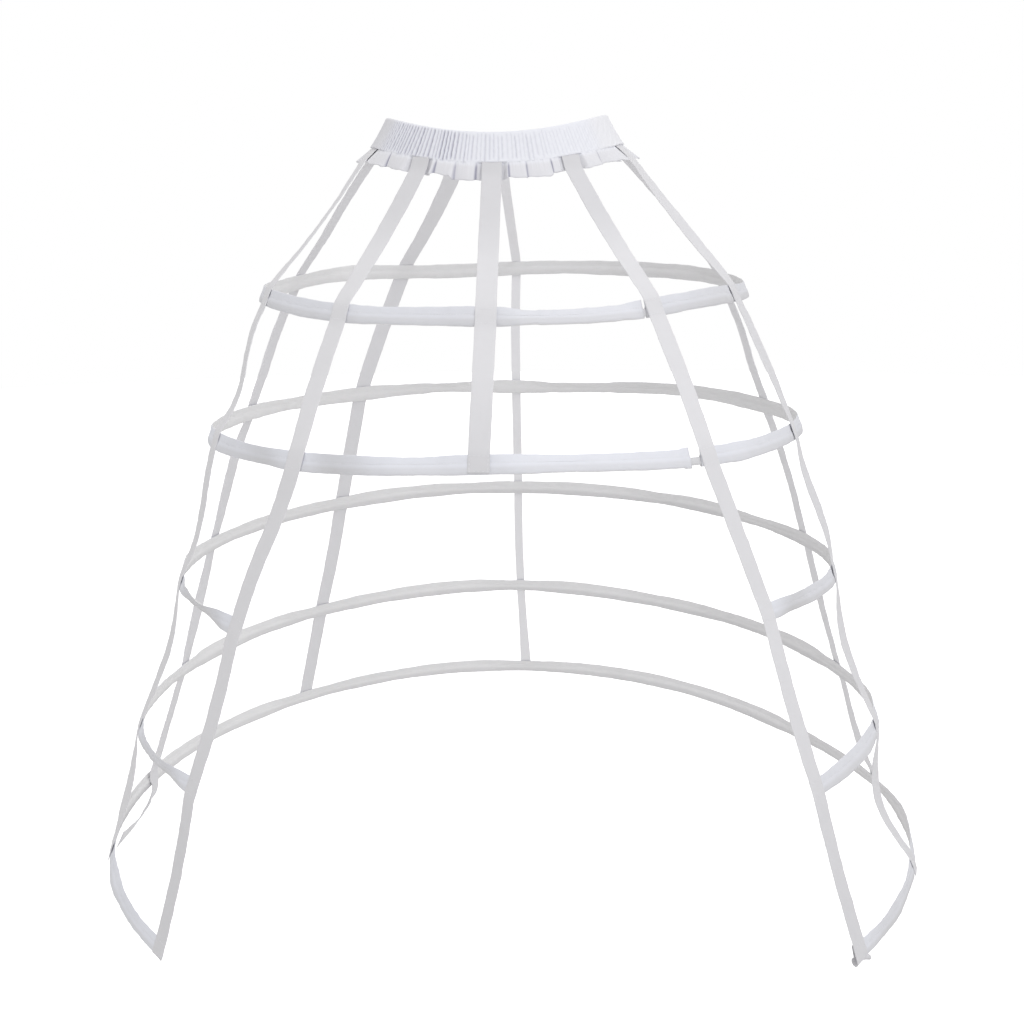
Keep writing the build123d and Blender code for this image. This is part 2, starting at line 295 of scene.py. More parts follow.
def mesh_from_arrays(
    name: str, points: Array, faces: Sequence[Array], uv: Optional[Array] = None,
    attributes: Optional[Dict[str, Array]] = None, outwards: bool = True,
) -> bpy.types.Object:
    """Makes a smooth-shaded object from whole arrays.

    Args:
        name: Name of the object.
        points: Vertex places in millimetres, shape (n, 3).
        faces: Arrays of vertex numbers, one array for each size of face.
        uv: Map coordinates in metres for each corner, in the order of the faces.
        attributes: Named numbers for each vertex.
        outwards: Whether a closed mesh is turned so that its faces look outwards.

    Returns:
        The linked object.
    """
    mesh = bpy.data.meshes.new(name)
    mesh.vertices.add(len(points))
    mesh.vertices.foreach_set("co", (points * MM).astype(np.float32).ravel())
    corners = np.concatenate([f.ravel() for f in faces]).astype(np.int32)
    sizes = np.concatenate([np.full(len(f), f.shape[1]) for f in faces])
    starts = np.concatenate([[0], np.cumsum(sizes)[:-1]]).astype(np.int32)
    mesh.loops.add(len(corners))
    mesh.loops.foreach_set("vertex_index", corners)
    mesh.polygons.add(len(sizes))
    mesh.polygons.foreach_set("loop_start", starts)
    mesh.update(calc_edges=True)
    mesh.validate()
    mesh.polygons.foreach_set("use_smooth", np.ones(len(mesh.polygons), bool))
    if uv is not None:
        mesh.uv_layers.new(name="UVMap").uv.foreach_set("vector", uv.astype(np.float32).ravel())
    for key, values in (attributes or {}).items():
        attribute = mesh.attributes.new(key, "FLOAT", "POINT")
        attribute.data.foreach_set("value", values.astype(np.float32).ravel())
    made = bpy.data.objects.new(name, mesh)
    bpy.context.scene.collection.objects.link(made)
    if outwards and signed_volume(mesh) < 0:
        mesh.flip_normals()
    return made


def signed_volume(mesh: bpy.types.Mesh) -> float:
    """Volume of a closed mesh, positive where its faces look outwards."""
    mesh.calc_loop_triangles()
    points = np.empty(len(mesh.vertices) * 3, np.float32)
    mesh.vertices.foreach_get("co", points)
    triangles = np.empty(len(mesh.loop_triangles) * 3, np.int32)
    mesh.loop_triangles.foreach_get("vertices", triangles)
    a, b, c = (points.reshape(-1, 3)[triangles.reshape(-1, 3)[:, j]].astype(float) for j in range(3))
    return float((a * np.cross(b, c)).sum() / 6)


def swept_surface(
    name: str, grid: Array, closed: bool, attributes: Optional[Dict[str, Array]] = None
) -> bpy.types.Object:
    """Skins a closed outline carried along a path.

    The outline's corners run round it and the stations run along it. Map coordinates are the real lengths
    along the path and round the outline, in metres. An open sweep gets a flat cap at each end.

    Args:
        name: Name of the object.
        grid: Points, shape (stations, corners, 3), in millimetres.
        closed: Whether the last station joins the first.
        attributes: Named numbers of shape (stations, corners).

    Returns:
        The object.
    """
    stations, corners = grid.shape[:2]
    step = np.linalg.norm(np.diff(grid.mean(1), axis=0, append=grid.mean(1)[:1]), axis=1)
    along = np.concatenate([[0], np.cumsum(step)])[: stations + 1]
    ring = np.linalg.norm(np.diff(grid[stations // 2], axis=0, append=grid[stations // 2][:1]), axis=1)
    around = np.concatenate([[0], np.cumsum(ring)])
    i = np.arange(stations if closed else stations - 1)[:, None]
    k = np.arange(corners)[None, :]
    near, far, k_next = i * corners, (i + 1) % stations * corners, (k + 1) % corners
    faces = [np.stack([near + k, far + k, far + k_next, near + k_next], -1).reshape(-1, 4)]
    u, v = (
        [np.broadcast_to(lengths[number + j], (len(i), corners)) for j in (0, 1)]
        for lengths, number in ((along, i), (around, k))
    )
    uv = np.stack([np.stack([u[a], v[b]], -1) for a, b in ((0, 0), (1, 0), (1, 1), (0, 1))], 2)
    uv = uv.reshape(-1, 2) * MM
    if not closed:
        faces.append(np.stack([np.arange(corners), (stations - 1) * corners + np.arange(corners)[::-1]]))
        uv = np.concatenate([uv, np.zeros((2 * corners, 2))])
    flat = {key: value.reshape(-1) for key, value in (attributes or {}).items()}
    return mesh_from_arrays(name, grid.reshape(-1, 3), faces, uv, flat)


# ----- materials ------------------------------------------------------------------------------------------


@dataclass(frozen=True)
class Finish:
    """Numbers of one finish. Its painted daylight is a bluish tint mixed in where daylight would light the
    cloth.
    """

    name: str
    tint: Rgb
    shade: Rgb
    roughness: float
    pitch: float
    twill: float
    weave_depth: float
    wrinkle: float = 0.0
    sheen: float = 0.15
    metallic: float = 0.0
    mottle: float = 1.0
    painted_daylight: Optional[Rgb] = None


FINISHES: Dict[str, Finish] = {
    "band": Finish(
        "band cloth", (0.905, 0.90, 0.915), (0.36, 0.36, 0.45), 0.85, 0.0005, 0.0, 0.00005, 0.3, mottle=0.25,
        painted_daylight=(0.90, 0.91, 0.965),
    ),
    "tape": Finish(
        "twill tape", (0.885, 0.88, 0.905), (0.66, 0.657, 0.68), 0.80, 0.0011, 1.0, 0.00003, 0.15, mottle=0.5,
    ),
    "casing": Finish(
        "casing cloth", (0.885, 0.882, 0.89), (0.655, 0.65, 0.665), 0.82, 0.0005, 0.0, 0.00008, 0.5,
        mottle=0.8, painted_daylight=(0.85, 0.865, 0.93),
    ),
    "thread": Finish("thread", (0.88, 0.88, 0.91), (0.74, 0.74, 0.78), 0.6, 0.0004, 1.0, 0.00006),
    "bone": Finish(
        "flat boning", (0.74, 0.74, 0.76), (0.60, 0.60, 0.62), 0.38, 0.0016, 0.0, 0.00003, sheen=0.0,
    ),
    "joiner": Finish(
        "bent steel", (0.55, 0.55, 0.56), (0.40, 0.40, 0.41), 0.32, 0.0008, 1.0, 0.00003, sheen=0.0,
        metallic=1.0,
    ),
    "tip": Finish(
        "dipped tip", (0.80, 0.80, 0.81), (0.70, 0.70, 0.71), 0.45, 0.0020, 0.0, 0.00002, sheen=0.0,
    ),
    "elastic": Finish("woven elastic", (0.80, 0.79, 0.77), (0.62, 0.61, 0.60), 0.75, 0.0012, 0.0, 0.00020),
}


class Graph:
    """A small helper that adds and joins shader nodes in one tree."""

    def __init__(self, tree: bpy.types.NodeTree) -> None:
        """Args: tree: The node tree to build in."""
        self.tree = tree

    def fill(self, node: bpy.types.Node, inputs: Dict[object, object]) -> None:
        """Links or sets a node's inputs.

        Args:
            node: The node.
            inputs: Input name or number to a value or to an output socket.
        """
        for key, value in inputs.items():
            if isinstance(value, bpy.types.NodeSocket):
                self.tree.links.new(value, node.inputs[key])
            else:
                node.inputs[key].default_value = value

    def add(
        self, kind: str, inputs: Optional[Dict[object, object]] = None, **settings: object
    ) -> bpy.types.bpy_prop_collection:
        """Adds a node, sets its properties and fills its inputs.

        Args:
            kind: Node type.
            inputs: Input name or number to a value or to an output socket.
            **settings: Node properties.

        Returns:
            The node's outputs.
        """
        node = self.tree.nodes.new(kind)
        for key, value in settings.items():
            setattr(node, key, value)
        self.fill(node, inputs or {})
        return node.outputs

    def math(
        self, operation: str, first: object, second: object = 0.0, third: object = 0.0
    ) -> bpy.types.NodeSocket:
        """A Math node's output."""
        return self.add("ShaderNodeMath", {0: first, 1: second, 2: third}, operation=operation)[0]

    def mixed(self, share: bpy.types.NodeSocket, first: object, second: Rgb) -> bpy.types.NodeSocket:
        """A colour between two, of which the first may be a socket."""
        start = first if isinstance(first, bpy.types.NodeSocket) else (*first, 1.0)
        return self.add("ShaderNodeMix", {0: share, 6: start, 7: (*second, 1.0)}, data_type="RGBA")[2]


def group_tree(name: str, inputs: Dict[str, str], outputs: Sequence[str]) -> Tuple:
    """A new shader node group with named sockets.

    Args:
        name: Name of the group.
        inputs: Socket names and their types, Float or Vector.
        outputs: Names of the outputs, which are all numbers.

    Returns:
        The tree, its graph helper, its given values and its output node.
    """
    tree = bpy.data.node_groups.new(name, "ShaderNodeTree")
    for label, kind in inputs.items():
        tree.interface.new_socket(label, in_out="INPUT", socket_type=f"NodeSocket{kind}")
    for label in outputs:
        tree.interface.new_socket(label, in_out="OUTPUT", socket_type="NodeSocketFloat")
    graph = Graph(tree)
    return tree, graph, graph.add("NodeGroupInput"), tree.nodes.new("NodeGroupOutput")


def weave_group() -> bpy.types.NodeTree:
    """Threads from map coordinates: plain weave, or slanted twill ribs, as height and as a tint."""
    tree, g, given, out = group_tree(
        "weave", {"Map": "Vector", "Pitch": "Float", "Twill": "Float"}, ("Height", "Tint")
    )
    parts = g.add("ShaderNodeSeparateXYZ", {0: given["Map"]})
    turn = g.math("DIVIDE", math.pi, given["Pitch"])
    across, down = (g.math("MULTIPLY", parts[axis], turn) for axis in (0, 1))
    over = g.math("MULTIPLY", g.math("SINE", across), g.math("SINE", down))
    plain = g.math("MULTIPLY_ADD", over, 0.5, 0.5)
    rib = g.math("ABSOLUTE", g.math("SINE", g.math("ADD", across, down)))
    height = g.add("ShaderNodeMix", {0: given["Twill"], 2: plain, 3: rib}, data_type="FLOAT")[0]
    g.fill(out, {"Height": height, "Tint": height})
    return tree


def wear_group() -> bpy.types.NodeTree:
    """Uneven washing and creasing from object coordinates, as a tint, a roughness change and a height."""
    tree, g, given, out = group_tree(
        "wear", {"Place": "Vector", "Scale": "Float"}, ("Tint", "Roughness", "Height")
    )
    finer = g.math("MULTIPLY", given["Scale"], 7.0)
    broad, fine = (
        g.add("ShaderNodeTexNoise", {"Vector": given["Place"], "Scale": scale, "Detail": detail})["Fac"]
        for scale, detail in ((given["Scale"], 3.0), (finer, 5.0))
    )
    tint = g.math("ADD", g.math("MULTIPLY", broad, 0.6), g.math("MULTIPLY", fine, 0.4))
    g.fill(out, {"Tint": tint, "Roughness": g.math("MULTIPLY", fine, 0.16), "Height": tint})
    return tree


class MaterialShop:
    """Makes each finish once and hands it out."""

    WEAR_SCALE = 9.0
    THREAD_SHADE = 0.22
    WEAR_SHADE = 0.5
    ROUGHNESS_BELOW = 0.08
    WRINKLE_HEIGHT = 8
    BUMP = 0.35
    SHEEN_ROUGHNESS = 0.6
    CLOTH_SPECULAR, METAL_SPECULAR = 0.25, 0.5

    def __init__(self) -> None:
        """Builds the shared groups."""
        self.weave = weave_group()
        self.wear = wear_group()
        self.made: Dict[str, bpy.types.Material] = {}

    def get(self, key: str, crease: bool = False, mapped: bool = True) -> bpy.types.Material:
        """The material of a finish.

        Args:
            key: Key in FINISHES.
            crease: Whether the mesh carries a number of painted shade that darkens its folds, hollows and
                shaded faces.
            mapped: Whether the mesh has map coordinates; a CAD node has none.

        Returns:
            The material.
        """
        label = f"{key}{'_crease' if crease else ''}{'' if mapped else '_cad'}"
        if label in self.made:
            return self.made[label]
        finish = FINISHES[key]
        material = bpy.data.materials.new(finish.name if label == key else f"{finish.name} {label}")
        material.use_nodes = True
        g = Graph(material.node_tree)
        place = g.add("ShaderNodeTexCoord")["Object"]
        where = g.add("ShaderNodeUVMap")["UV"] if mapped else place
        threads = {"Map": where, "Pitch": finish.pitch, "Twill": finish.twill}
        weave = g.add("ShaderNodeGroup", threads, node_tree=self.weave)
        wear = g.add("ShaderNodeGroup", {"Place": place, "Scale": self.WEAR_SCALE}, node_tree=self.wear)
        dark = g.math("MULTIPLY", g.math("SUBTRACT", 1.0, weave["Tint"]), self.THREAD_SHADE)
        uneven = g.math("MULTIPLY", g.math("SUBTRACT", wear["Tint"], 0.5), self.WEAR_SHADE)
        dark = g.math("MULTIPLY", g.math("ADD", dark, uneven), finish.mottle)
        # Painted shade: a number on the mesh darkens the colour towards the shade tint where shade would
        # fall.
        if crease:
            dark = g.math("ADD", dark, g.add("ShaderNodeAttribute", attribute_name="crease")["Fac"])
        dark = g.add("ShaderNodeClamp", {0: dark})[0]
        light: object = finish.tint
        # Painted light: a number on the mesh mixes in a bluish tint where daylight would light the cloth.
        if crease and finish.painted_daylight:
            painted_daylight = g.add("ShaderNodeAttribute", attribute_name="painted_daylight")["Fac"]
            light = g.mixed(painted_daylight, finish.tint, finish.painted_daylight)
        wrinkles = g.math("MULTIPLY", wear["Height"], finish.wrinkle * self.WRINKLE_HEIGHT)
        height = g.math("ADD", weave["Height"], wrinkles)
        bump = {"Height": height, "Distance": finish.weave_depth, "Strength": self.BUMP}
        g.fill(material.node_tree.nodes["Principled BSDF"], {
            "Base Color": g.mixed(dark, light, finish.shade),
            "Roughness": g.math("ADD", finish.roughness - self.ROUGHNESS_BELOW, wear["Roughness"]),
            "Normal": g.add("ShaderNodeBump", bump)["Normal"],
            "Metallic": finish.metallic,
            "Sheen Weight": finish.sheen,
            "Sheen Roughness": self.SHEEN_ROUGHNESS,
            "Specular IOR Level": self.METAL_SPECULAR if finish.metallic else self.CLOTH_SPECULAR,
        })
        self.made[label] = material
        return material


# ----- pieces ---------------------------------------------------------------------------------------------


@dataclass
class Piece(ABC):
    """One piece of the cage: builds its mesh, takes its finish and is tied to the frame."""

    name: str
    shop: MaterialShop

    @abstractmethod
    def build(self) -> bpy.types.Object:
        """Builds and returns the object."""

    def dress(
        self, made: bpy.types.Object, finish: str, slot: Slot, nodes: Sequence[str], crease: bool = False
    ) -> None:
        """Gives the finish, hides the CAD nodes that the piece stands for and ties it to the frame.

        Args:
            made: The object.
            finish: Key in FINISHES.
            slot: The record's material slot; not used.
            nodes: CAD nodes that it replaces.
            crease: Whether the mesh carries a number of painted shade.
        """
        made.data.materials.append(self.shop.get(finish, crease))
        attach(made, "root")
        if nodes:
            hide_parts(*nodes)


@dataclass
class Casing(Piece):
    """A hoop's folded cloth casing, with a bulge over the bone, a stitched channel and a flat flange."""

    hoop: HoopShape
    start: float
    arc: float
    cuff: float = 0.0

    OUTLINE = np.array((
        (-1.75, -9.55), (-0.9, -9.5), (-0.1, -9.0), (0.45, -7.8), (0.75, -6.0), (0.85, -3.8), (0.7, -1.6),
        (0.45, 0.2), (0.22, 1.2), (0.14, 1.6), (0.10, 2.1), (0.08, 3.2), (0.10, 5.0), (0.05, 6.8),
        (0.0, 8.2), (-0.1, 9.2), (-0.45, 9.6), (-0.95, 9.5), (-1.2, 8.8), (-1.15, 6.8), (-1.15, 4.6),
        (-1.15, 3.5), (-1.25, 2.7), (-1.9, 1.9), (-2.7, 1.1), (-3.2, -0.3), (-3.6, -2.0), (-3.75, -3.8),
        (-3.7, -6.0), (-3.3, -7.8), (-2.7, -9.0),
    ))
    STEP = 2.6
    STITCH_UP = 1.6
    STITCH_PITCH, STITCH_SPACING = 6.1, 3.05
    SEEDS_PER_HOOP = 40
    TALL_DRIFT, TALL_RIPPLE = Noise(0.045, 190, 0), Noise(0.02, 60, 1)
    FAT_DRIFT, LEAN = Noise(0.10, 120, 2), Noise(0.07, 330, 3)
    ROUND_CREASE, FINE_CREASE = Noise(0.22, 26, 4), Noise(0.12, 17, 5)
    CREASE_SLANT, PRESSED_OUT = 14, 0.6
    STITCH_PULL, STITCH_NEAR = 0.05, 0.9
    CUFF_TALLER, CUFF_FATTER = 0.10, 0.25
    PRESSED = (7.0, 15.0)
    END_CLOSING, END_THIN = (0.0, 1.6), 0.72
    MOUTH_WALL, MOUTH_DEPTH = 0.4, 6.0
    # Painted shade on the cloth: inside the open ends, on the stitch line, in creases, under the bulge, on
    # the inner face, towards the right, on twisted stretches and for each hoop.
    LIP_SHADE, MOUTH_SHADE = 0.5, 1.6
    STITCH_SHADE, CREASE_SHADE, BULGE_SHADE = 0.08, 0.10, 0.34
    LOWER_INSIDE = (0.12, 0.10, 0.42, 0.42, 0.36)
    OUTSIDE = (0.16, 0.0, 0.0, 0.0, 0.0)
    INSIDE, INSIDE_RIGHT, OUTSIDE_RIGHT, TWIST_SHADE = 0.20, 0.22, 0.25, 0.9

    @property
    def length(self) -> float:
        """Length of the casing along its hoop."""
        return math.radians(self.arc) * self.hoop.radius

    @property
    def seed(self) -> int:
        """First seed of this hoop's noise."""
        return self.SEEDS_PER_HOOP * self.hoop.number

    def near_stitch(self, reach: float) -> Array:
        """1 on the outline's line of stitches, fading over a distance."""
        return np.exp(-(((self.OUTLINE[:, 1] - self.STITCH_UP) / reach) ** 2))[None]

    def lean_at(self, s: Array) -> Array:
        """How much the face leans from its mean slope, at lengths along the casing."""
        return self.LEAN.at(s, self.seed)

    def sections(self, angle: Array, s: Array) -> Tuple[Array, Array, Array]:
        """The outline at every station.

        Its height, bulge and lean and its creases vary with seeded noise. It is pressed flat where a tape
        is sewn on, larger in a turned cuff, drawn in at every stitch and thinner at its two ends.

        Args:
            angle: Angles of the stations in degrees.
            s: Their lengths along the casing.

        Returns:
            Distances out of the face and up it, and the creases, of shape (stations, corners).
        """
        outline = self.OUTLINE[None]
        tall = 1 + self.TALL_DRIFT.at(s, self.seed) + self.TALL_RIPPLE.at(s, self.seed)
        fat = 1 + self.FAT_DRIFT.at(s, self.seed)
        if self.cuff:
            cuffed = 1 - smooth_step(self.cuff - 1.0, self.cuff, self.length - s)
            tall, fat = tall * (1 + self.CUFF_TALLER * cuffed), fat * (1 + self.CUFF_FATTER * cuffed)
        pressed = np.zeros(len(s))
        for crossing in self.hoop.crossings():
            away = apart(angle, crossing) * math.radians(1) * self.hoop.radius
            pressed = np.maximum(pressed, 1 - smooth_step(*self.PRESSED, away))
        tall = 1 + (tall - 1) * (1 - pressed)
        out = BONE_OUT + (outline[..., 0] - BONE_OUT) * fat[:, None]
        up = outline[..., 1] * tall[:, None]
        face = 2 * np.pi * (np.arange(outline.shape[1]) / outline.shape[1])
        crease = self.ROUND_CREASE.at(s, self.seed)[:, None] * np.cos(face)[None]
        crease = crease + self.FINE_CREASE.at(s[:, None] + self.CREASE_SLANT * up, self.seed)
        out = out + crease * (1 - self.PRESSED_OUT * pressed[:, None]) + self.lean_at(s)[:, None] * up
        beat = 0.5 + 0.5 * np.cos(2 * np.pi * s / self.STITCH_PITCH)[:, None]
        pull = self.STITCH_PULL * self.near_stitch(self.STITCH_NEAR) * beat
        out = out - pull * np.sign(outline[..., 0] - BONE_OUT + 0.9)
        closing = smooth_step(*self.END_CLOSING, np.minimum(s, self.length - s))[:, None]
        return BONE_OUT + (out - BONE_OUT) * (self.END_THIN + (1 - self.END_THIN) * closing), up, crease

    def shades(self, angle: Array, crease: Array) -> Tuple[Array, Array]:
        """Painted shade for each point, and its share of the painted bluish daylight.

        The stitch line, creases, the bulge's underside, the inner face (more to the right) and stretches
        twisted with their upper edge outwards get painted shade. Only the outer face gets the painted
        daylight.

        Args:
            angle: Angles of the stations in degrees.
            crease: The creases, of shape (stations, corners), which also give painted shade.

        Returns:
            The two arrays, of shape (stations, corners).
        """
        number = self.hoop.number - 1
        inner = smooth_step(-0.4, -1.0, self.OUTLINE[:, 0])[None]
        outer, turned = 1 - inner, np.sin(np.radians(angle))[:, None]
        lower = smooth_step(-0.5, -3.5, self.OUTLINE[:, 1])[None]
        shade = self.STITCH_SHADE * self.near_stitch(0.7) + self.CREASE_SHADE * np.abs(crease)
        shade = shade + lower * (self.BULGE_SHADE * outer + self.LOWER_INSIDE[number] * inner)
        shade = shade + inner * (self.INSIDE + self.INSIDE_RIGHT * turned)
        shade = shade + outer * self.OUTSIDE_RIGHT * smooth_step(0.66, 0.85, turned)
        twisted = self.TWIST_SHADE * np.maximum(self.hoop.twist(angle), 0)[:, None]
        return shade + outer * (self.OUTSIDE[number] + twisted), outer * np.ones_like(crease)

    def mouth(self, angle: float, out: Array, up: Array, inwards: float) -> List[Array]:
        """Two rings that turn in at an open end: one at its lip, and one that lies deeper.

        Args:
            angle: The end's angle in degrees.
            out: The end's outline, out of the face.
            up: The end's outline, up the face.
            inwards: Way into the casing, 1 or -1.

        Returns:
            The two rings.
        """
        run_out, run_up = np.roll(out, -1) - np.roll(out, 1), np.roll(up, -1) - np.roll(up, 1)
        length = np.maximum(np.hypot(run_out, run_up), 1e-6)
        way = np.sign((out * np.roll(up, -1) - up * np.roll(out, -1)).sum())
        slim_out = out - way * self.MOUTH_WALL * run_up / length
        slim_up = up + way * self.MOUTH_WALL * run_out / length
        deep = angle + inwards * (1.0 / math.radians(1) / self.hoop.radius * self.MOUTH_DEPTH)
        return [self.hoop.place(np.array([a]), slim_out[None], slim_up[None])[0] for a in (angle, deep)]

    def build(self) -> bpy.types.Object:
        """Carries the outline along the arc, turns its two ends in and gives it painted shade, darkest inside
        the ends.
        """
        count, number = int(self.length / self.STEP), self.hoop.number
        angle, s = self.start + np.linspace(0, self.arc, count), np.linspace(0, self.length, count)
        out, up, crease = self.sections(angle, s)
        shade, painted_daylight = self.shades(angle, crease)
        first = self.mouth(angle[0], out[0], up[0], 1)
        last = self.mouth(angle[-1], out[-1], up[-1], -1)
        grid = np.stack([first[1], first[0], *self.hoop.place(angle, out, up), *last])
        # Painted shadow inside each open end: the lip is darkened, and the deeper ring more.
        deep, lip = np.full_like(out[:1], self.MOUTH_SHADE), np.full_like(out[:1], self.LIP_SHADE)
        attributes = {
            "crease": np.concatenate([deep, lip, shade, lip, deep]),
            "painted_daylight": np.concatenate([painted_daylight[:1], painted_daylight[:1], painted_daylight, painted_daylight[:1], painted_daylight[:1]]),
        }
        made = swept_surface(self.name, grid, False, attributes)
        self.dress(made, "casing", Slot.CASING, [f"hoop_{number}_casing"], crease=True)
        return made


@dataclass(frozen=True)
class Bow:
    """How a span of tape leaves the straight line between its ends.

    The first three are a single hump over the span: out of the tape's face, to its side, and its twist in
    degrees. The last three are the same for a wave that goes one way in the upper half and back in the lower.
    """

    out: float = 0.0
    side: float = 0.0
    twist: float = 0.0
    sway_out: float = 0.0
    sway_side: float = 0.0
    sway_twist: float = 0.0


@dataclass(frozen=True)
class TapeRoute:
    """A tape's turn at the waist, its angle at each hoop from the top one down, and its spans' bows."""

    node: str
    waist_turn: float
    angles: Tuple[float, ...]
    bows: Tuple[Bow, ...]
    width: float = TAPE_WIDTH
    foot_width: float = TAPE_WIDTH
    foot: float = 1.0
    fold_back: bool = False
    tail: bool = False
    # Painted shade over the whole tape: a darker shaded copy of the same tape cloth.
    painted_tape_shade: float = 0.38

    def slant(self, number: int) -> float:
        """Sideways run for each millimetre of height at a hoop, from the spans beside it."""
        parts = []
        for upper, lower in ((number - 1, number), (number, number + 1)):
            if 0 <= upper and lower < len(self.angles):
                swing = math.radians(self.angles[lower] - self.angles[upper]) * HOOPS[number].radius
                parts.append(swing / (HOOPS[lower].drop - HOOPS[upper].drop))
        return float(np.mean(parts)) if parts else 0.0


TAPES = (
    TapeRoute("centre_front_tape", -1, (-2.3, -2.8), (), foot=-1.0),
    TapeRoute(
        "front_left_tape", -34, (-35.3, -36.1, -43.9, -47.9, -48.7),
        (Bow(-1, 2, -4), Bow(1, -1, -3), Bow(0, 0, 2, -1, 1), Bow(-2, 1, -2, 0, 0, 1), Bow(-2, 1, 2)),
        foot=-1.0,
    ),
    TapeRoute(
        "front_right_tape", 35, (35.3, 39.1, 45.8, 47.5, 48.3),
        (Bow(-1, -2, 2), Bow(1, 1, 1), Bow(), Bow(-1, -1, 1, 0, 0, -1), Bow(-1, -1, -2)),
        foot=0.0, fold_back=True,
    ),
    TapeRoute(
        "side_left_tape", -73, (-66, -64, -72.6, -75.4, -77.8),
        (Bow(-4, 0, 6), Bow(-4, 0, 4, 4, -0.6), Bow(-5, 0, -4, 1.6), Bow(-8, 0, -10, -0.9),
         Bow(-4, 0, -18, -0.7)),
    ),
    TapeRoute(
        "side_right_tape", 74, (66.2, 73.9, 77.1, 72.5, 72.7),
        (Bow(-2, 0, 12, 0, 0, -2), Bow(1, 0, 8), Bow(1, 0, 14, -2.4), Bow(-10, 0, 13, -0.7, 0, 3),
         Bow(-19, -1, 12, 0, 0, 6)),
        painted_tape_shade=0.52,
    ),
    TapeRoute(
        "rear_side_left_tape", -106, (-110.1, -107.3, -102.4, -101.7),
        (Bow(0, 0, 1, 1), Bow(3, 0, 3, 1), Bow(3, 0, 8, 1), Bow(0, 0, 11)), tail=True,
    ),
    TapeRoute(
        "rear_side_right_tape", 106, (109.2, 109.5, 103.9, 100.9, 99.8),
        (Bow(2, 0, 3, 0, 0, 1), Bow(3, 0, 4, 1.8), Bow(3, 0, 2), Bow(-1, 0, -1, 0, 0, -1),
         Bow(-4, 0, -5, 0.9, 0, 4)),
    ),
    TapeRoute(
        "back_left_tape", -156, (-149.8, -142.8, -141.1, -139.7, -139.3),
        (Bow(-1, -2, -3), Bow(1, 1), Bow(0, 0, 3), Bow(-1, -1, 1)),
    ),
    TapeRoute(
        "centre_back_tape", 178, (177.7, 178.4, 178.5, 178.5, 177.9), (Bow(), Bow(0, 1), Bow(), Bow(0, 1)),
        width=12.0, foot_width=16.0, painted_tape_shade=0.0,
    ),
)
FRONT_LEFT, FRONT_RIGHT = TAPES[1], TAPES[2]


@dataclass(frozen=True)
class Line:
    """Stations of a tape: their places, the way its width runs and the way its face looks."""

    places: Array
    sides: Array
    faces: Array

    def joined(self, places: Array, sides: Array, faces: Array) -> "Line":
        """This line with more stations after it."""
        pairs = ((self.places, places), (self.sides, sides), (self.faces, faces))
        return Line(*(np.concatenate(pair) for pair in pairs))

    def squared(self) -> "Line":
        """This line with its sides square to its run and its faces square to both."""
        run = unit(np.gradient(self.places, axis=0))
        side = unit(self.sides - run * (self.sides * run).sum(1, keepdims=True))
        return Line(self.places, side, unit(np.cross(run, side)))


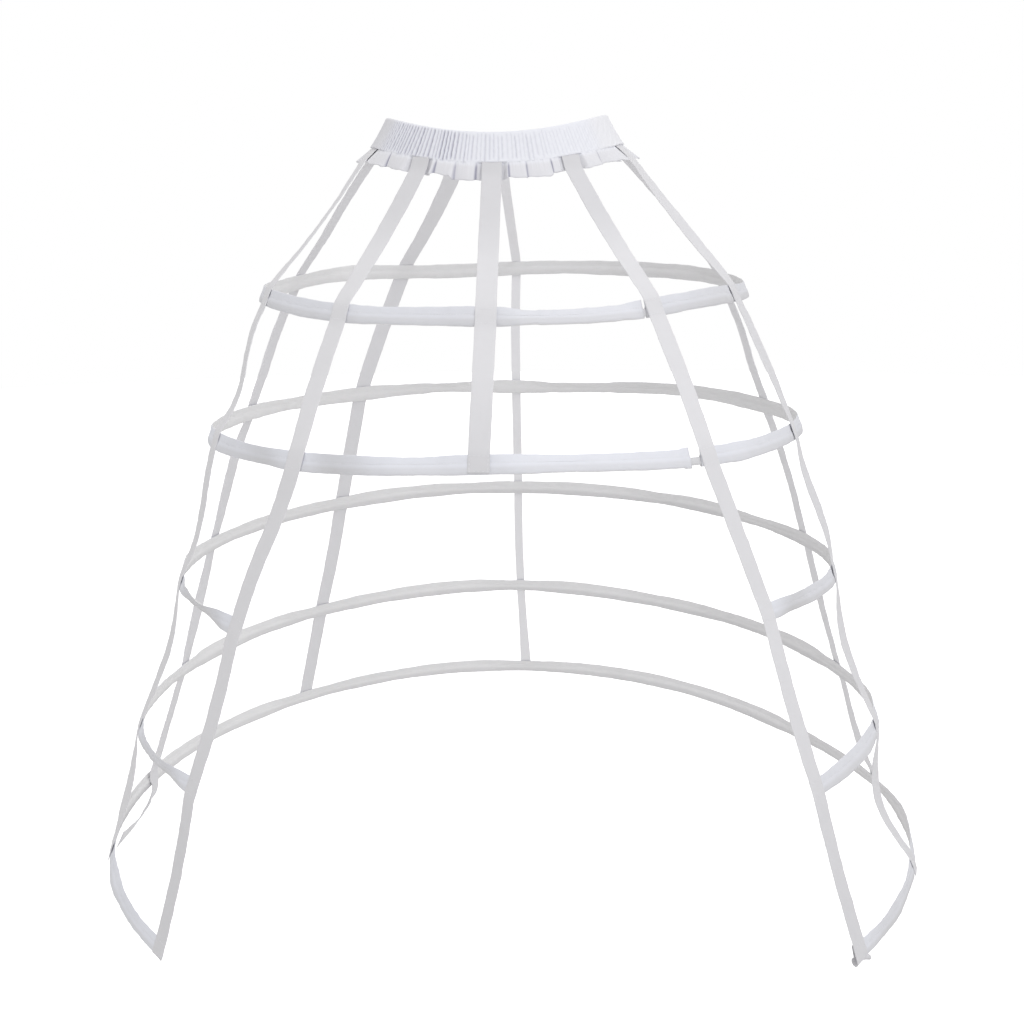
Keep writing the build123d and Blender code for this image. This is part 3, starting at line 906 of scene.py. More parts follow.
@dataclass
class Tape(Piece):
    """A flat woven tape from the waist over the casings."""

    route: TapeRoute
    line: Optional[Line] = field(default=None, init=False)

    THICKNESS = 0.9
    LIFT = 1.25
    STEP = 2.0
    EASING = 12
    FRONT = 60
    TAIL = np.array((
        (-101.0, -5.2, 9.5), (-100.6, -5.6, -10.0), (-98.1, -9.2, -14.5), (-94.2, -15.2, -16.5),
        (-88.4, -18.3, -10.2), (-80.7, -7.6, 0.8),
    ))
    TAIL_TILT = np.radians((0.0, 4.0, 24.0, 24.0, 16.0, 6.0))[:, None]
    TAIL_LEAN = np.radians((0.0, 0.0, 35.0, 60.0, 75.0, 85.0))[:, None]
    SECTION = np.array((
        (0.5, -0.15), (0.5, 0.15), (0.492, 0.42), (0.47, 0.5), (0.3, 0.46), (0.1, 0.46), (-0.1, 0.46),
        (-0.3, 0.46), (-0.47, 0.5), (-0.492, 0.42), (-0.5, 0.15), (-0.5, -0.15), (-0.492, -0.42),
        (-0.47, -0.5), (-0.3, -0.46), (-0.1, -0.46), (0.1, -0.46), (0.3, -0.46), (0.47, -0.5), (0.492, -0.42),
    ))
    WIDTH_DRIFT, CURL, RIPPLE = Noise(0.012, 90, 0), Noise(0.25, 60, 1), Noise(0.15, 23, 2)

    def stations(self) -> Tuple[Line, List[int]]:
        """The fixed stations: the waist, three on the face of each casing, and a tail or end tab.

        Returns:
            The stations, and the number of the station that each free span starts from.
        """
        route, spans = self.route, []
        place, side, facing = BAND.tape_start(route.waist_turn, route.width)
        leaning = unit(facing + np.array([0.0, 0.0, 0.5]))
        places = np.stack([place, BAND.tape_hem(route.waist_turn)])
        line = Line(places, np.stack([side, side]), np.stack([facing, leaning]))
        for number, angle in enumerate(route.angles):
            hoop = HOOPS[number]
            spans.append(len(line.places) - 1)
            last = number == len(route.angles) - 1 and not route.tail
            up = np.array([HALF_HEIGHT + 0.5, 0.0, -HALF_HEIGHT - (route.foot if last else 0.0)])
            here = angle - np.degrees(route.slant(number) * up / hoop.radius)
            _, along, _, normal = hoop.axes(here)
            line = line.joined(hoop.place(here, np.full(3, self.LIFT), up), along, normal)
        if route.tail:
            spans.append(len(line.places) - 1)
            line = line.joined(*self.tail_line())
        if route.fold_back:
            line = line.joined(*self.fold_line())
        return line, spans

    def tail_line(self) -> Tuple[Array, Array, Array]:
        """A slack tail, by angle, distance out of the last hoop's face and distance up it."""
        angle, out, up = self.TAIL.T
        _, along, uphill, normal = HOOPS[-1].axes(angle)
        steep = uphill * np.cos(self.TAIL_TILT) - normal * np.sin(self.TAIL_TILT)
        sides = along * np.cos(self.TAIL_LEAN) + steep * np.sin(self.TAIL_LEAN)
        line = Line(HOOPS[-1].place(angle, out, up), sides, sides).squared()
        return line.places, line.sides, line.faces

    def fold_line(self) -> Tuple[Array, Array, Array]:
        """The end tab, which turns under the hoop's end and up its inner face."""
        hoop = HOOPS[len(self.route.angles) - 1]
        angle = self.route.angles[-1] + np.array([0.0, 0.3, 0.6, 0.7, 0.7])
        inner = -CASING_DEPTH - self.LIFT - 0.6
        out = np.array([self.LIFT - 0.6, inner / 2, inner, inner - 0.3, inner + 0.6])
        up = np.array([-0.6, -1.8, -0.6, HALF_HEIGHT, 2 * HALF_HEIGHT - 2.0]) - HALF_HEIGHT
        _, along, uphill, normal = hoop.axes(angle)
        outwards = np.array([1.0, 0.0, -1.0, -1.0, -1.0])[:, None]
        downwards = np.array([0.5, 1.0, 0.5, 0.0, 0.0])[:, None]
        return hoop.place(angle, out, up), along, unit(normal * outwards - uphill * downwards)

    def trace(self) -> Line:
        """Closely spaced stations. Each span is straight, plus its bow's humps and waves, then eased."""
        fixed, spans = self.stations()
        rows = [(fixed.places[:1], fixed.sides[:1], fixed.faces[:1])]
        bows = dict(zip(spans, self.route.bows))
        for k in range(len(fixed.places) - 1):
            count = max(3, int(np.linalg.norm(fixed.places[k + 1] - fixed.places[k]) / self.STEP))
            t = np.linspace(0, 1, count + 1)[1:, None]
            bow, hump, sway = bows.get(k, Bow()), np.sin(np.pi * t), np.sin(2 * np.pi * t)
            straight, side, face = (
                values[k] * (1 - t) + values[k + 1] * t for values in (fixed.places, fixed.sides, fixed.faces)
            )
            side, face = unit(side), unit(face)
            out, aside = bow.out * hump + bow.sway_out * sway, bow.side * hump + bow.sway_side * sway
            twist = np.radians(bow.twist * hump + bow.sway_twist * sway)
            turned = side * np.cos(twist) + face * np.sin(twist), face * np.cos(twist) - side * np.sin(twist)
            rows.append((straight + face * out + side * aside, *turned))
        return Line(*(eased(np.concatenate(row), self.EASING) for row in zip(*rows))).squared()

    def build(self) -> bpy.types.Object:
        """Skins the tape's rounded section, set at every station, with slightly curling edges.

        Every tape gets its own painted shade, and the two front tapes get more painted shade at the waist and
        towards the foot.
        """
        route, section = self.route, self.SECTION[None]
        self.line = line = self.trace()
        s = np.concatenate([[0], np.cumsum(np.linalg.norm(np.diff(line.places, axis=0), axis=1))])
        seed = 7 + int(abs(route.waist_turn) * 10)
        width = route.width * (1 + self.WIDTH_DRIFT.at(s, seed))
        width = width + (route.foot_width - route.width) * smooth_step(0.86 * s[-1], s[-1], s)
        across = section[..., 0] * width[:, None]
        curl = self.CURL.at(s, seed)[:, None] * (2 * section[..., 0]) ** 2
        ripple = self.RIPPLE.at(s, seed)[:, None] * (2 * section[..., 0]) ** 3
        height = section[..., 1] * self.THICKNESS + curl + ripple
        aside, outwards = line.sides[:, None] * across[..., None], line.faces[:, None] * height[..., None]
        # Painted shade: darker near the waist, below the band, and towards the foot, where less light
        # reaches.
        ends = 0.3 * smooth_step(0.6, 1.0, s / s[-1]) + 0.36 * smooth_step(150.0, 60.0, s)
        painted_tape_shade = route.painted_tape_shade + (abs(route.waist_turn) < self.FRONT) * ends
        attributes = {"crease": painted_tape_shade[:, None] * np.ones_like(height)}
        made = swept_surface(self.name, line.places[:, None] + aside + outwards, False, attributes)
        self.dress(made, "tape", Slot.TAPE, [route.node], crease=True)
        return made


@dataclass
class Strip(Piece):
    """A bone, a bone tip or a joining sleeve inside a casing, which follows the hoop's waves."""

    hoop: HoopShape
    start: float
    arc: float
    node: str = ""
    finish: str = "bone"
    slot: Slot = Slot.BONE
    width: float = 8.0
    thickness: float = 1.2
    hollow: float = 0.0

    STEP = 3.0
    EDGE = 0.35
    SPLIT = 0.3

    def outline(self) -> Array:
        """The section, out of the face and up it: a strip with eased edges, or a bent sleeve."""
        half, deep, thin, split = self.width / 2, self.thickness / 2, self.hollow, self.SPLIT
        if not thin:
            ease = self.EDGE * self.thickness
            a, b = deep - ease, half - ease
            return np.array([
                (deep, b), (a, half), (-a, half), (-deep, b),
                (-deep, -b), (-a, -half), (a, -half), (deep, -b),
            ])
        a, b = deep - thin, half - thin
        return np.array([
            (-deep, split), (-deep, half), (deep, half), (deep, -half), (-deep, -half), (-deep, -split),
            (-a, -split), (-a, -b), (a, -b), (a, b), (-a, b), (-a, split),
        ])

    def build(self) -> bpy.types.Object:
        """Carries the section along the hoop's arc."""
        count = max(6, int(math.radians(self.arc) * self.hoop.radius / self.STEP))
        angle, every = self.start + np.linspace(0, self.arc, count), np.ones((count, 1))
        out, up = (self.outline()[None, :, axis] * every for axis in (0, 1))
        made = swept_surface(self.name, self.hoop.place(angle, BONE_OUT + out, BONE_UP + up), False)
        self.dress(made, self.finish, self.slot, [self.node] if self.node else [])
        return made


@dataclass(frozen=True)
class BandShape:
    """The waistband's oval: sizes shared by its band, its ruffle and the tapes that start at it."""

    height: float = 31.0
    wall: float = 5.0
    top_half_width: float = 123.0
    top_half_depth: float = 106.0
    seam_half_width: float = 139.5
    seam_half_depth: float = 122.0
    rise: float = 13.5
    dip: float = 11.0
    ruffle_drop: float = 15.0
    ruffle_flare: float = 9.0
    ruffle_inset: float = 1.6
    end_flare: float = 9.0
    tape_inset: float = 0.7
    tape_out: float = 4.5
    tape_down: float = 13.0

    def end_reach(self, turn: Array) -> Array:
        """How much further the ruffle's hem stands out at the two ends of the waist, at turns in radians."""
        return self.end_flare * smooth_step(0.8, 0.97, np.abs(np.sin(turn)))

    def point(self, turn: Array, down: Array, inward: Array) -> Array:
        """Points of the wall by their turn in radians, distance down from the top edge and distance in."""
        share = down / self.height
        half_width = self.top_half_width + (self.seam_half_width - self.top_half_width) * share
        half_depth = self.top_half_depth + (self.seam_half_depth - self.top_half_depth) * share
        x, y = (half_width - inward) * np.sin(turn), -(half_depth - inward) * np.cos(turn)
        return np.stack([x, y, self.rise - self.dip * np.cos(2 * turn) - down], -1)

    def tape_start(self, turn_degrees: float, width: float) -> Tuple[Array, Array, Array]:
        """Place, width direction and facing of a tape's sewn end, in front of the ruffle at the seam."""
        turn, reach = math.radians(turn_degrees), width / 2 / self.seam_half_width
        middle, right, left = (
            self.point(np.array(turn + way * reach), np.array(self.height - 0.4), np.array(self.tape_inset))
            for way in (0, 1, -1)
        )
        return middle, unit(right - left), np.array([math.sin(turn), -math.cos(turn), 0.0])

    def tape_hem(self, turn_degrees: float) -> Array:
        """Where a tape leaves the ruffle, pressed against the cloth near the hem."""
        turn = np.array(math.radians(turn_degrees))
        seam = self.point(turn, np.array(self.height), -self.tape_out - self.end_reach(turn))
        return seam - np.array([0.0, 0.0, self.tape_down])


BAND = BandShape()


@dataclass(frozen=True)
class Fold:
    """A fold of the ruffle: its turn in degrees, how much longer the cloth hangs after it, and its shadow."""

    turn: float
    longer: float = 0.0
    dark: float = 0.6


RUFFLE_FOLDS = (
    Fold(-73.0, 0.0, 0.3), Fold(-52.8, 1.0, 0.9), Fold(-38.7, 2.0, 0.9), Fold(-25.5, 0.0, 0.9),
    Fold(-16.6, 4.5, 0.6), Fold(-7.5, 3.5, 0.9), Fold(6.2, 1.5, 0.9), Fold(13.8, 3.0, 0.8),
    Fold(24.9, 0.5, 0.95), Fold(50.6, 0.0, 0.5), Fold(70.9, 0.5, 0.7), Fold(-91.0, 0.0, 0.3),
    *(Fold(turn) for turn in (90.0, 107.0, 121.0, 139.0, 154.0, 171.0)),
    *(Fold(turn) for turn in (-173.0, -157.0, -141.0, -125.0, -108.0)),
)


@dataclass(frozen=True)
class Columns:
    """What differs from column to column of the waistband, each an array round the waist.

    Turn and degrees are the column's place. Phase, slant, deep, foot and head are the pleats' spacing, lean,
    depth and the heights between which they show. Milder is 0 at the left front. Left and right are 1 at the
    band's ends. Cover is 1 behind a tape. Swell, shadow and extra are the ruffle's folds.
    """

    turn: Array
    degrees: Array
    phase: Array
    slant: Array
    deep: Array
    foot: Array
    head: Array
    milder: Array
    left: Array
    right: Array
    cover: Array
    swell: Array
    shadow: Array
    extra: Array


@dataclass
class Waistband(Piece):
    """The gathered band and its ruffle, one closed skin of cloth."""

    shape: BandShape
    folds: Sequence[Fold]
    tapes: Sequence[TapeRoute]

    COLUMNS = 1700
    PLEATS = 186
    PLEAT_OUT, PLEAT_IN = 0.45, 2.6
    SWELL_OUT, END_OUT, PLEAT_SINK = 2.4, 0.9, 1.6
    REAR_SHORTER = 0.42
    SPACING, SPACING_RIPPLE = Noise(0.7, 60, 3, 3), Noise(0.4, 13, 8, 3)
    WANDER, DRIFT = Noise(0.12, 4.0, 17, 2), Noise(0.3, 5.2, 9, 3)
    RUFFLE_CREASE, HEM = Noise(0.35, 3.1, 21, 3), Noise(0.7, 13, 31, 3)
    DEEP_SEED, FOOT_SEED, HEAD_SEED = 11, 12, 13
    FOLD_BACK = 0.93
    FLAT = (0.046, 1.15)
    TAPE_RADIUS = 130.0

    def fold_wave(self, turn: Array) -> Tuple[Array, Array, Array]:
        """The ruffle's folds: each swells out slowly and then turns back sharply.

        Args:
            turn: Turns in radians.

        Returns:
            The swell from -1 to 1, the shadow of the fold from 0 to 1, and the extra length.
        """
        ordered = sorted(self.folds, key=lambda fold: fold.turn % 360)
        edges = np.array([fold.turn % 360 for fold in ordered])
        dark, longer = (np.array([getattr(fold, key) for fold in ordered]) for key in ("dark", "longer"))
        degrees = np.degrees(turn) % 360
        number = (np.searchsorted(edges, degrees, side="right") - 1) % len(edges)
        after = (number + 1) % len(edges)
        span = (edges[after] - edges[number]) % 360
        t = ((degrees - edges[number]) % 360) / span
        back = self.FOLD_BACK
        swell = np.where(t < back, -1 + 2 * smooth_step(0.0, back, t), 1 - 2 * smooth_step(back, 1.0, t))
        ahead, behind = (1 - t) * span, t * span
        shadow = dark[after] * np.exp(-((ahead / 0.5) ** 2)) + dark[number] * np.exp(-((behind / 0.35) ** 2))
        later = smooth_step(0.8, 1.0, t)
        return swell, np.clip(shadow, 0, 1), longer[number] * (1 - later) + longer[after] * later

    def tape_cover(self, turn: Array) -> Array:
        """1 behind a tape, and 0 a few millimetres away from it."""
        cover = np.zeros_like(turn)
        for route in self.tapes:
            reach = math.degrees(route.width / 2 / self.TAPE_RADIUS)
            away = apart(np.degrees(turn), route.waist_turn)
            cover = np.maximum(cover, 1 - smooth_step(reach + 0.3, reach + 2.2, away))
        return cover

    def pleat_table(self, phase: Array, low: float, high: float, seed: int) -> Array:
        """A random number for each valley between pleats, eased from one valley to the next."""
        table = np.random.default_rng(seed).uniform(low, high, self.PLEATS + 9)
        number = np.floor(phase / np.pi).astype(int)
        share = smooth_step(0.0, 1.0, phase / np.pi - number)
        first, second = number % len(table), (number + 1) % len(table)
        return table[first] * (1 - share) + table[second] * share

    def columns(self) -> Columns:
        """The columns: pleats deep at the left front, milder in the middle and faint at the right.

        A pleat's spacing and slant drift with seeded noise. Every valley between two pleats has its own
        depth and its own heights at which it starts and fades out, so the band melts into the ruffle.
        """
        turn = np.linspace(0, 2 * np.pi, self.COLUMNS, endpoint=False)
        degrees = (np.degrees(turn) + 180) % 360 - 180
        left = smooth_step(-56, -68, degrees) * smooth_step(-130, -100, degrees)
        right = smooth_step(48, 60, degrees) * (1 - smooth_step(100, 130, degrees))
        rear = 1 - smooth_step(140, 175, degrees)
        milder, faint = (smooth_step(*span, degrees) * rear for span in ((-26, -4), (12, 34)))
        strength = (1 - 0.42 * milder - 0.33 * faint) * (1 - 0.85 * left) * (1 - 0.8 * right)
        phase = self.PLEATS * turn / 2 + self.SPACING.at(degrees) + self.SPACING_RIPPLE.at(degrees)
        foot = self.shape.height - 4.0 + 2.2 * self.pleat_table(phase, -1.0, 1.0, self.FOOT_SEED)
        return Columns(
            turn, degrees, phase,
            2.1 * smooth_step(-26, -46, degrees) - 1.0 * faint,
            self.pleat_table(phase, 0.45, 1.0, self.DEEP_SEED) * strength,
            foot + 2.5 * (1 - milder),
            1.2 + 4.0 * milder * self.pleat_table(phase, 0.0, 1.0, self.HEAD_SEED),
            milder, left, right, self.tape_cover(turn), *self.fold_wave(turn),
        )

    def valley(self, at: Columns, down: float) -> Tuple[Array, Array]:
        """How far the cloth sinks between the pleats at a distance down, from 0 to 1, and its painted shade
        there.
        """
        wander = self.WANDER.at(at.degrees + 0.5 * down)
        ridge = np.abs(np.sin(at.phase + at.slant * down / self.shape.height + wander))
        shown = at.deep * smooth_step(-2.5, 1.0, at.foot + 1.5 - down)
        shown = shown * smooth_step(-1.5, 2.0, down - at.head)
        return shown * (1 - ridge**0.8), shown * (1 - ridge) ** 1.05

    def band_row(self, at: Columns, down: float, inward: object, amount: float) -> Tuple[Array, Array, Array]:
        """One row of the band: its valleys sink by amount times their depth.

        Args:
            at: The columns.
            down: Distance down from the top edge.
            inward: Distance in from the outer face.
            amount: Share of the pleats' depth, negative on the inner face.

        Returns:
            The row's points, its painted shade and its share of the painted daylight.
        """
        sunk, dark = self.valley(at, down)
        flare = self.shape.end_reach(at.turn) * 0.25 * (down / 31.0) ** 3
        pleat = (self.PLEAT_OUT - sunk * (self.PLEAT_IN - 0.6 * at.milder)) * amount
        out = pleat + self.DRIFT.at(at.degrees + 0.6 * down) * amount + flare
        # Painted shade: the valleys between the pleats and the band's left end are darkened where less light
        # falls.
        shade = (0.92 - 0.34 * at.milder) * dark * min(1.0, abs(amount)) + 0.16 * at.left + 0.02
        # Painted light: the bluish daylight tint on the outer face, weaker at the band's two ends.
        painted_daylight = (1 - 0.8 * at.left) * (1 - 0.5 * at.right) * (amount > 0)
        return self.shape.point(at.turn, down * np.ones_like(at.turn), inward - out), shade, painted_daylight

    def ruffle_row(self, at: Columns, share: float, inward: float) -> Tuple[Array, Array, Array]:
        """One row of the ruffle at a share of its drop. Its folds grow towards the hem.

        Args:
            at: The columns.
            share: Share of the drop, from the seam to the hem.
            inward: Distance in from the outer face.

        Returns:
            The row's points, its painted shade and its share of the painted daylight.
        """
        shape, cover = self.shape, at.cover
        sunk, dark = self.valley(at, shape.height + share * shape.ruffle_drop)
        reached = shape.end_reach(at.turn)
        inset = shape.ruffle_inset * (0.3 + 0.7 * cover)
        out = (shape.ruffle_flare + shape.ruffle_inset) * share**0.9 - inset
        folded = self.SWELL_OUT * at.swell + self.END_OUT * reached
        out = out + folded * share**1.1 - self.PLEAT_SINK * sunk
        out = out + self.RUFFLE_CREASE.at(at.degrees) * (1 - share)
        pressed = np.minimum(out, -2.4 + (5.4 + reached) * share)
        out = out * (1 - cover) + pressed * cover - inward
        behind = smooth_step(0.1, 0.8, -np.cos(at.turn))
        hem = self.HEM.at(at.degrees) - 0.5 * at.swell
        drop = shape.ruffle_drop * (1 - self.REAR_SHORTER * behind) + at.extra - hem
        way = np.stack([out * np.sin(at.turn), -out * np.cos(at.turn), -drop * share], 1)
        reach = smooth_step(0.0, 0.35, share)
        # Painted shadow and shade: the folds' shadows, the pleat valleys and the ruffle below the seam are
        # darkened.
        shade = at.shadow * (0.25 + 0.75 * reach) * (1 - 0.4 * cover) + 0.13 * reach + 0.7 * dark + 0.03
        seam = shape.point(at.turn, np.full_like(at.turn, shape.height), 0.0)
        # Painted light: the bluish daylight tint fades down the ruffle and at the band's left end.
        return seam + way, shade, (1 - 0.75 * reach) * (1 - 0.5 * at.left)

    def build(self) -> bpy.types.Object:
        """Carries the cloth's section round the waist.

        Down the outside the section has a rolled top edge, the pleated band and the ruffle. The inside goes
        back up, one cloth or one wall further in. A pleat is a rectified sine of the turn.
        """
        at, tall, wall = self.columns(), self.shape.height, self.shape.wall
        outer = [(0.4, 2.2, 0.3), (-0.3, 1.2, 0.5), (-0.1, 0.4, 0.8)]
        outer += [(down, 0.0, 1.0) for down in np.linspace(0.8, tall - 2.0, 19)]
        outer += [(tall - 1.0, -0.1 * at.cover, 1.0), (tall - 0.2, 0.1, 0.9)]
        outer += [(tall + 0.3, 0.25 + 0.8 * at.cover, 0.7)]
        ruffle = [(share, 0.0) for share in np.linspace(0.05, 1.0, 14)] + [(1.01, 0.45)]
        ruffle += [(share, 0.95) for share in np.linspace(1.0, 0.08, 7)]
        inner = [(tall - 0.2, 4.2, 0.3)] + [(down, wall, -0.5) for down in np.linspace(tall - 1.0, 1.6, 8)]
        inner += [(0.7, 4.4, -0.3), (0.3, 3.4, 0.2)]
        rows = [self.band_row(at, *row) for row in outer] + [self.ruffle_row(at, *row) for row in ruffle]
        rows += [self.band_row(at, *row) for row in inner]
        points, shades, painted_daylight_rows = (np.stack(values, 1) for values in zip(*rows))
        # The cloth carries its painted shade and painted daylight as numbers on the mesh.
        made = swept_surface(self.name, points, True, {"crease": shades, "painted_daylight": painted_daylight_rows})
        self.dress(made, "band", Slot.WAISTBAND, ["waistband"], crease=True)
        return made


@dataclass
class Stitches(Piece):
    """A row of short thread stitches, each a small closed capsule."""

    centres: Array
    runs: Array
    faces: Array

    LENGTH = 2.2
    RADIUS = 0.17
    SIDES = 5
    ENDS, GIRTH, SINK = (-0.5, -0.36, 0.36, 0.5), (0.35, 1.0, 1.0, 0.35), (-0.5, 0.3, 0.3, -0.5)

    def build(self) -> bpy.types.Object:
        """Copies one capsule to every stitch, turned along its run and flattened on the cloth."""
        sides, rings, count = self.SIDES, len(self.ENDS), len(self.centres)
        turn = np.arange(sides) * 2 * np.pi / sides
        x = np.repeat(np.array(self.ENDS) * self.LENGTH, sides)
        girth = np.repeat(np.array(self.GIRTH) * self.RADIUS, sides)
        y = girth * np.tile(np.cos(turn), rings)
        z = girth * np.tile(np.sin(turn), rings) + np.repeat(np.array(self.SINK) * self.RADIUS, sides)
        axes = ((self.runs, x), (unit(np.cross(self.faces, self.runs)), y), (self.faces, z))
        points = self.centres[:, None] + sum(axis[:, None] * along[None, :, None] for axis, along in axes)
        ring, k = np.arange(rings - 1)[:, None] * sides, np.arange(sides)[None]
        after = (k + 1) % sides
        quads = np.stack([ring + k, ring + after, ring + sides + after, ring + sides + k], -1).reshape(-1, 4)
        caps = np.array([np.arange(sides)[::-1], (rings - 1) * sides + np.arange(sides)])
        shift = np.arange(count)[:, None, None] * rings * sides
        faces = [(quads[None] + shift).reshape(-1, 4), (caps[None] + shift).reshape(-1, sides)]
        uv = np.zeros((faces[0].size + faces[1].size, 2))
        uv[: faces[0].size, 0] = np.tile(x[quads.ravel()] * MM, count)
        made = mesh_from_arrays(self.name, points.reshape(-1, 3), faces, uv)
        self.dress(made, "thread", Slot.CASING if "casing" in self.name else Slot.TAPE, [])
        return made


# ----- the cage -------------------------------------------------------------------------------------------


@dataclass
class Cage:
    """The whole cage, built from its sub-assemblies."""

    shop: MaterialShop

    CLOSED_GAPS = (3.5, 14.0)
    LAP = 4.0
    CUFF = 9.5
    SLEEVE = 36.0
    TIP = 12.0
    TIP_MARGIN = 2.8
    BONE_GAP = 1.0
    STITCH_IN = (1.8, 2.2)
    STITCH_SPACING = 3.0
    STITCH_LIFT = 0.16

    def build_hoops(self) -> None:
        """The two closed and three open hoops, from the front right tape round the back."""
        for hoop in HOOPS:
            if hoop.number <= len(self.CLOSED_GAPS):
                self.build_closed_hoop(hoop, self.CLOSED_GAPS[hoop.number - 1])
            else:
                self.build_open_hoop(hoop)

    def build_casing(self, hoop: HoopShape, start: float, arc: float, cuff: float = 0.0) -> None:
        """A casing and the stitches beside the bone on its outer face."""
        casing = Casing(f"hoop_{hoop.number}_cloth", self.shop, hoop, start, arc, cuff)
        casing.build()
        count = int(casing.length / casing.STITCH_SPACING)
        share = (np.arange(count) + 0.5) / count
        angle, up = start + share * arc, np.full(count, casing.STITCH_UP)
        _, along, _, normal = hoop.axes(angle)
        centres = hoop.place(angle, self.STITCH_LIFT + casing.lean_at(share * casing.length) * up, up)
        Stitches(f"hoop_{hoop.number}_casing_stitches", self.shop, centres, along, normal).build()

    def strip(
        self, hoop: HoopShape, label: str, start: float, arc: float, node: bool = True, **settings: object
    ) -> None:
        """A bone, tip or sleeve inside a hoop's casing. The second of a node's solids has no node."""
        named = f"hoop_{hoop.number}_{label}"
        name = f"{named}_piece" if node else f"{named}_second"
        Strip(name, self.shop, hoop, start, arc, named if node else "", **settings).build()

    def build_closed_hoop(self, hoop: HoopShape, gap: float) -> None:
        """A whole ring: casing up to a gap beside the tape, bone, and the sleeve that joins its ends."""
        tape_angle = FRONT_RIGHT.angles[hoop.number - 1]
        start = tape_angle - hoop.degrees_of(TAPE_WIDTH / 2)
        cuff = self.CUFF if gap > self.CUFF / 2 else 0.0
        self.build_casing(hoop, start, 360 - hoop.degrees_of(gap), cuff)
        middle, half = tape_angle + hoop.degrees_of(self.SLEEVE), hoop.degrees_of(self.SLEEVE / 2)
        self.strip(hoop, "bone", middle, 360 - hoop.degrees_of(self.BONE_GAP))
        self.strip(
            hoop, "joiner", middle - half, 2 * half, finish="joiner", slot=Slot.JOINER, width=8.8,
            thickness=2.0, hollow=0.3,
        )

    def build_open_hoop(self, hoop: HoopShape) -> None:
        """An open ring: casing between the two front side tapes, bone and its two dipped tips."""
        reach = hoop.degrees_of(self.LAP)
        start = FRONT_RIGHT.angles[hoop.number - 1] - reach
        arc = 360 + FRONT_LEFT.angles[hoop.number - 1] + reach - start
        self.build_casing(hoop, start, arc)
        margin, tip = hoop.degrees_of(self.TIP_MARGIN), hoop.degrees_of(self.TIP)
        first, length = start + margin + tip, arc - 2 * margin - 2 * tip
        self.strip(hoop, "bone", first, length)
        for place, node in ((first - tip, True), (first + length, False)):
            self.strip(hoop, "bone_tips", place, tip, node, finish="tip", slot=Slot.TIP)

    def build_tapes(self) -> None:
        """The nine tapes and the stitches that hold them to the casings."""
        for route in TAPES:
            tape = Tape(f"{route.node}_cloth", self.shop, route)
            tape.build()
            self.stitch_tape(tape)

    def stitch_tape(self, tape: Tape) -> None:
        """A square of stitches at each crossing, on the tape's face."""
        line, route = tape.line, tape.route
        half, tall = route.width / 2 - self.STITCH_IN[0], HALF_HEIGHT - self.STITCH_IN[1]
        across = np.linspace(-half, half, max(3, int(2 * half / self.STITCH_SPACING)))
        spots = [(a, u, False) for u in (-tall, tall) for a in across]
        spots += [(a, u, True) for a in (-half, half) for u in np.linspace(-tall, tall, 5)[1:-1]]
        rows = []
        for number, angle in enumerate(route.angles):
            hoop = HOOPS[number]
            for a, u, upright in spots:
                here = np.array([angle - math.degrees(route.slant(number) * u / hoop.radius)])
                target = hoop.place(here, np.array([Tape.LIFT]), np.array([u]))[0]
                nearest = int(np.argmin(((line.places - target) ** 2).sum(1)))
                side, face = line.sides[nearest], line.faces[nearest]
                run = unit(line.places[min(nearest + 1, len(line.places) - 1)] - line.places[nearest - 1])
                centre = line.places[nearest] + side * a + face * (0.5 * Tape.THICKNESS + 0.05)
                rows.append((centre, run if upright else side, face))
        Stitches(f"{route.node}_stitches", self.shop, *(np.array(values) for values in zip(*rows))).build()

    def dress_cad(self, frame: Dict) -> None:
        """The finish of the CAD node that stays, the elastic."""
        node = frame["nodes"]["waist_elastic"]
        node.data.materials.clear()
        node.data.materials.append(self.shop.get("elastic", mapped=False))


# ----- studio ---------------------------------------------------------------------------------------------


@dataclass(frozen=True)
class Shot:
    """The photo's camera, fitted to the hoops: its place, yaw, pitch and roll, and its focal length."""

    distance: float = 1600.0
    elevation: float = -3.04
    yaw: float = 1.57
    pitch: float = 12.09
    roll: float = -0.70
    focal: float = 1376.0
    centre_u: float = 501.54
    frame: float = 1024.0
    sensor: float = 36.0


@dataclass(frozen=True)
class Lamp:
    """A square soft light: its place and size in metres, its power in watts and its colour."""

    name: str
    place: Tuple[float, float, float]
    size: float
    power: float
    tint: Rgb


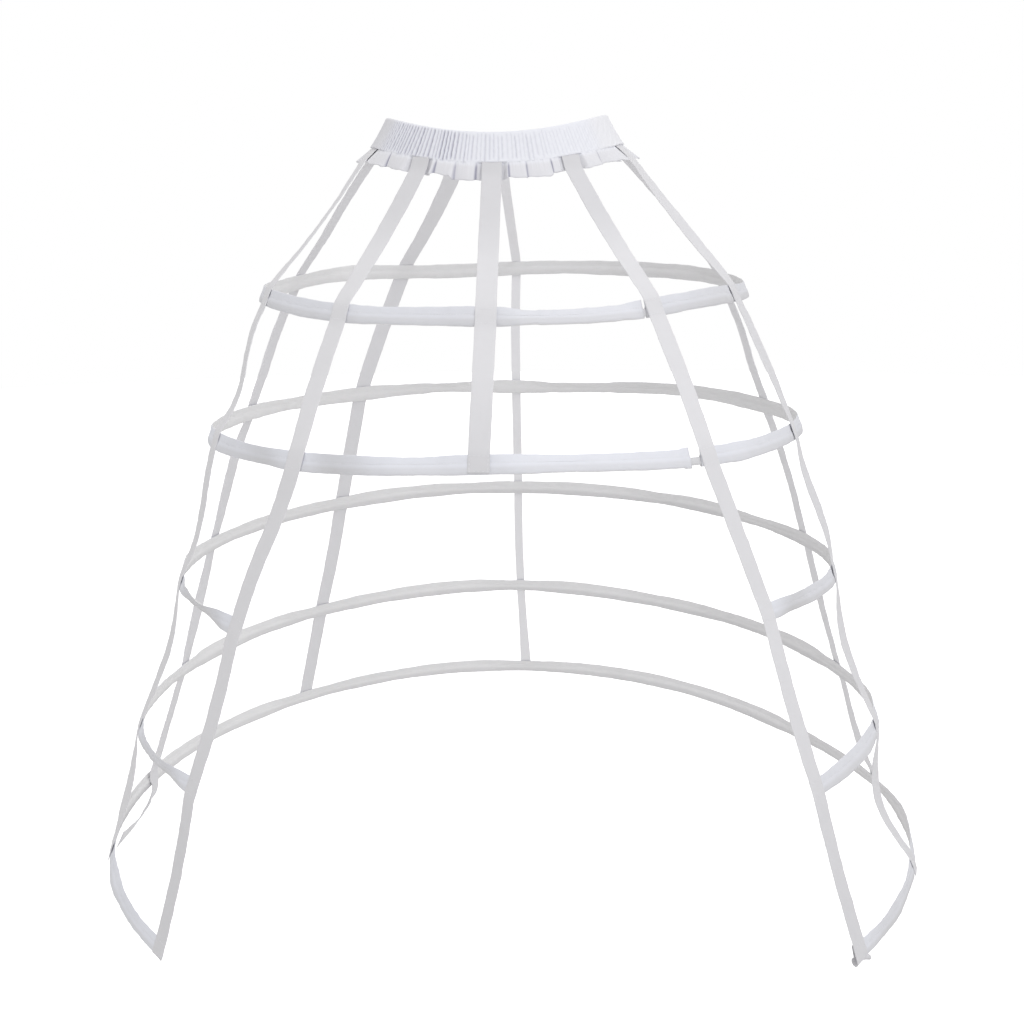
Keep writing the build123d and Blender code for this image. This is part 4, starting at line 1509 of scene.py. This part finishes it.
class Studio:
    """Camera, lights, world and floor."""

    AIM = Vector((0.0, 0.0, -0.40))
    LAMPS = (
        Lamp("key", (1.5, -1.9, 1.7), 1.6, 23.0, (0.965, 0.97, 1.0)),
        Lamp("fill", (-2.2, -1.6, 0.6), 2.2, 4.5, (0.97, 0.975, 1.0)),
        Lamp("top", (0.2, 0.3, 2.2), 2.0, 8.0, (1.0, 1.0, 1.0)),
    )
    SKY_BELOW, SKY_ABOVE = 0.52, 0.72
    FLOOR_RADIUS, FLOOR_HEIGHT, FLOOR_SIDES = 9000, -1250.0, 64
    FLOOR_GLOW = 0.75

    def __init__(self, shot: Shot) -> None:
        """Args: shot: The camera's numbers."""
        self.shot = shot

    def camera(self) -> None:
        """The camera at the photo's place, turned by yaw, pitch and roll."""
        shot = self.shot
        yaw, elevation, pitch, roll = map(math.radians, (shot.yaw, shot.elevation, shot.pitch, shot.roll))
        right = Vector((math.cos(yaw), math.sin(yaw), 0))
        back = Vector((-math.sin(yaw), math.cos(yaw), 0))
        up = Vector((0, 0, 1))
        place = (-back * math.cos(elevation) + up * math.sin(elevation)) * shot.distance * MM
        look = back * math.cos(pitch) - up * math.sin(pitch)
        over = back * math.sin(pitch) + up * math.cos(pitch)
        x_axis = right * math.cos(roll) + over * math.sin(roll)
        y_axis = over * math.cos(roll) - right * math.sin(roll)
        data = bpy.data.cameras.new("camera")
        data.sensor_width = shot.sensor
        data.lens = shot.focal * shot.sensor / shot.frame
        data.shift_x = (shot.frame / 2 - shot.centre_u) / shot.frame
        data.clip_end = 60.0
        camera = bpy.data.objects.new("camera", data)
        matrix = Matrix((x_axis, y_axis, -look)).transposed().to_4x4()
        matrix.translation = place
        camera.matrix_world = matrix
        bpy.context.scene.collection.objects.link(camera)
        bpy.context.scene.camera = camera

    def light(self, lamp: Lamp) -> None:
        """A light that looks at the cage's middle."""
        data = bpy.data.lights.new(lamp.name, "AREA")
        data.size = lamp.size
        data.energy = lamp.power
        data.color = lamp.tint
        light = bpy.data.objects.new(lamp.name, data)
        light.location = lamp.place
        light.rotation_euler = (self.AIM - Vector(lamp.place)).to_track_quat("-Z", "Y").to_euler()
        light.visible_camera = False
        bpy.context.scene.collection.objects.link(light)

    def world(self) -> None:
        """A white backdrop, and a softer sky that is brighter above than below."""
        world = bpy.data.worlds.new("studio")
        bpy.context.scene.world = world
        world.use_nodes = True
        world.node_tree.nodes.clear()
        g = Graph(world.node_tree)
        parts = g.add("ShaderNodeSeparateXYZ", {0: g.add("ShaderNodeTexCoord")["Generated"]})
        spread = {0: parts[2], 1: -1.0, 2: 1.0, 3: self.SKY_BELOW, 4: self.SKY_ABOVE}
        strength = g.add("ShaderNodeMapRange", spread)[0]
        sky = g.add("ShaderNodeBackground", {"Color": (1.0, 0.995, 0.985, 1.0), "Strength": strength})[0]
        white = g.add("ShaderNodeBackground", {"Color": (1.0, 1.0, 1.0, 1.0), "Strength": 1.0})[0]
        seen = g.add("ShaderNodeLightPath")["Is Camera Ray"]
        g.add("ShaderNodeOutputWorld", {0: g.add("ShaderNodeMixShader", {0: seen, 1: sky, 2: white})[0]})

    def floor(self) -> None:
        """A plain pale floor well below the hanging cage."""
        turn = np.linspace(0, 2 * np.pi, self.FLOOR_SIDES, endpoint=False)
        x, y = self.FLOOR_RADIUS * np.sin(turn), self.FLOOR_RADIUS * np.cos(turn)
        rim = np.stack([x, y, np.full_like(turn, self.FLOOR_HEIGHT)], 1)
        floor = mesh_from_arrays("floor", rim, [np.arange(self.FLOOR_SIDES)[::-1][None]], outwards=False)
        material = bpy.data.materials.new("floor")
        material.use_nodes = True
        g = Graph(material.node_tree)
        seen = g.add("ShaderNodeLightPath")["Is Camera Ray"]
        g.fill(material.node_tree.nodes["Principled BSDF"], {
            "Base Color": (0.92, 0.92, 0.92, 1), "Roughness": 0.9, "Emission Color": (1, 1, 1, 1),
            "Emission Strength": g.math("MULTIPLY", seen, self.FLOOR_GLOW),
        })
        floor.data.materials.append(material)

    def build(self) -> None:
        """Everything that isn't the object."""
        self.camera()
        self.world()
        self.floor()
        for lamp in self.LAMPS:
            self.light(lamp)
        view = bpy.context.scene.view_settings
        view.view_transform = "Standard"
        view.look = "None"


def main() -> None:
    """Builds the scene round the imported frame."""
    logging.basicConfig(level=logging.INFO, format="%(name)s %(message)s")
    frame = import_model()
    shop = MaterialShop()
    cage = Cage(shop)
    cage.dress_cad(frame)
    Waistband("waistband_cloth", shop, BAND, RUFFLE_FOLDS, TAPES).build()
    cage.build_hoops()
    cage.build_tapes()
    Studio(Shot()).build()
    bpy.context.view_layer.update()
    LOG.info("built %d hoops and %d tapes", len(HOOPS), len(TAPES))


if __name__ == "__main__":
    main()
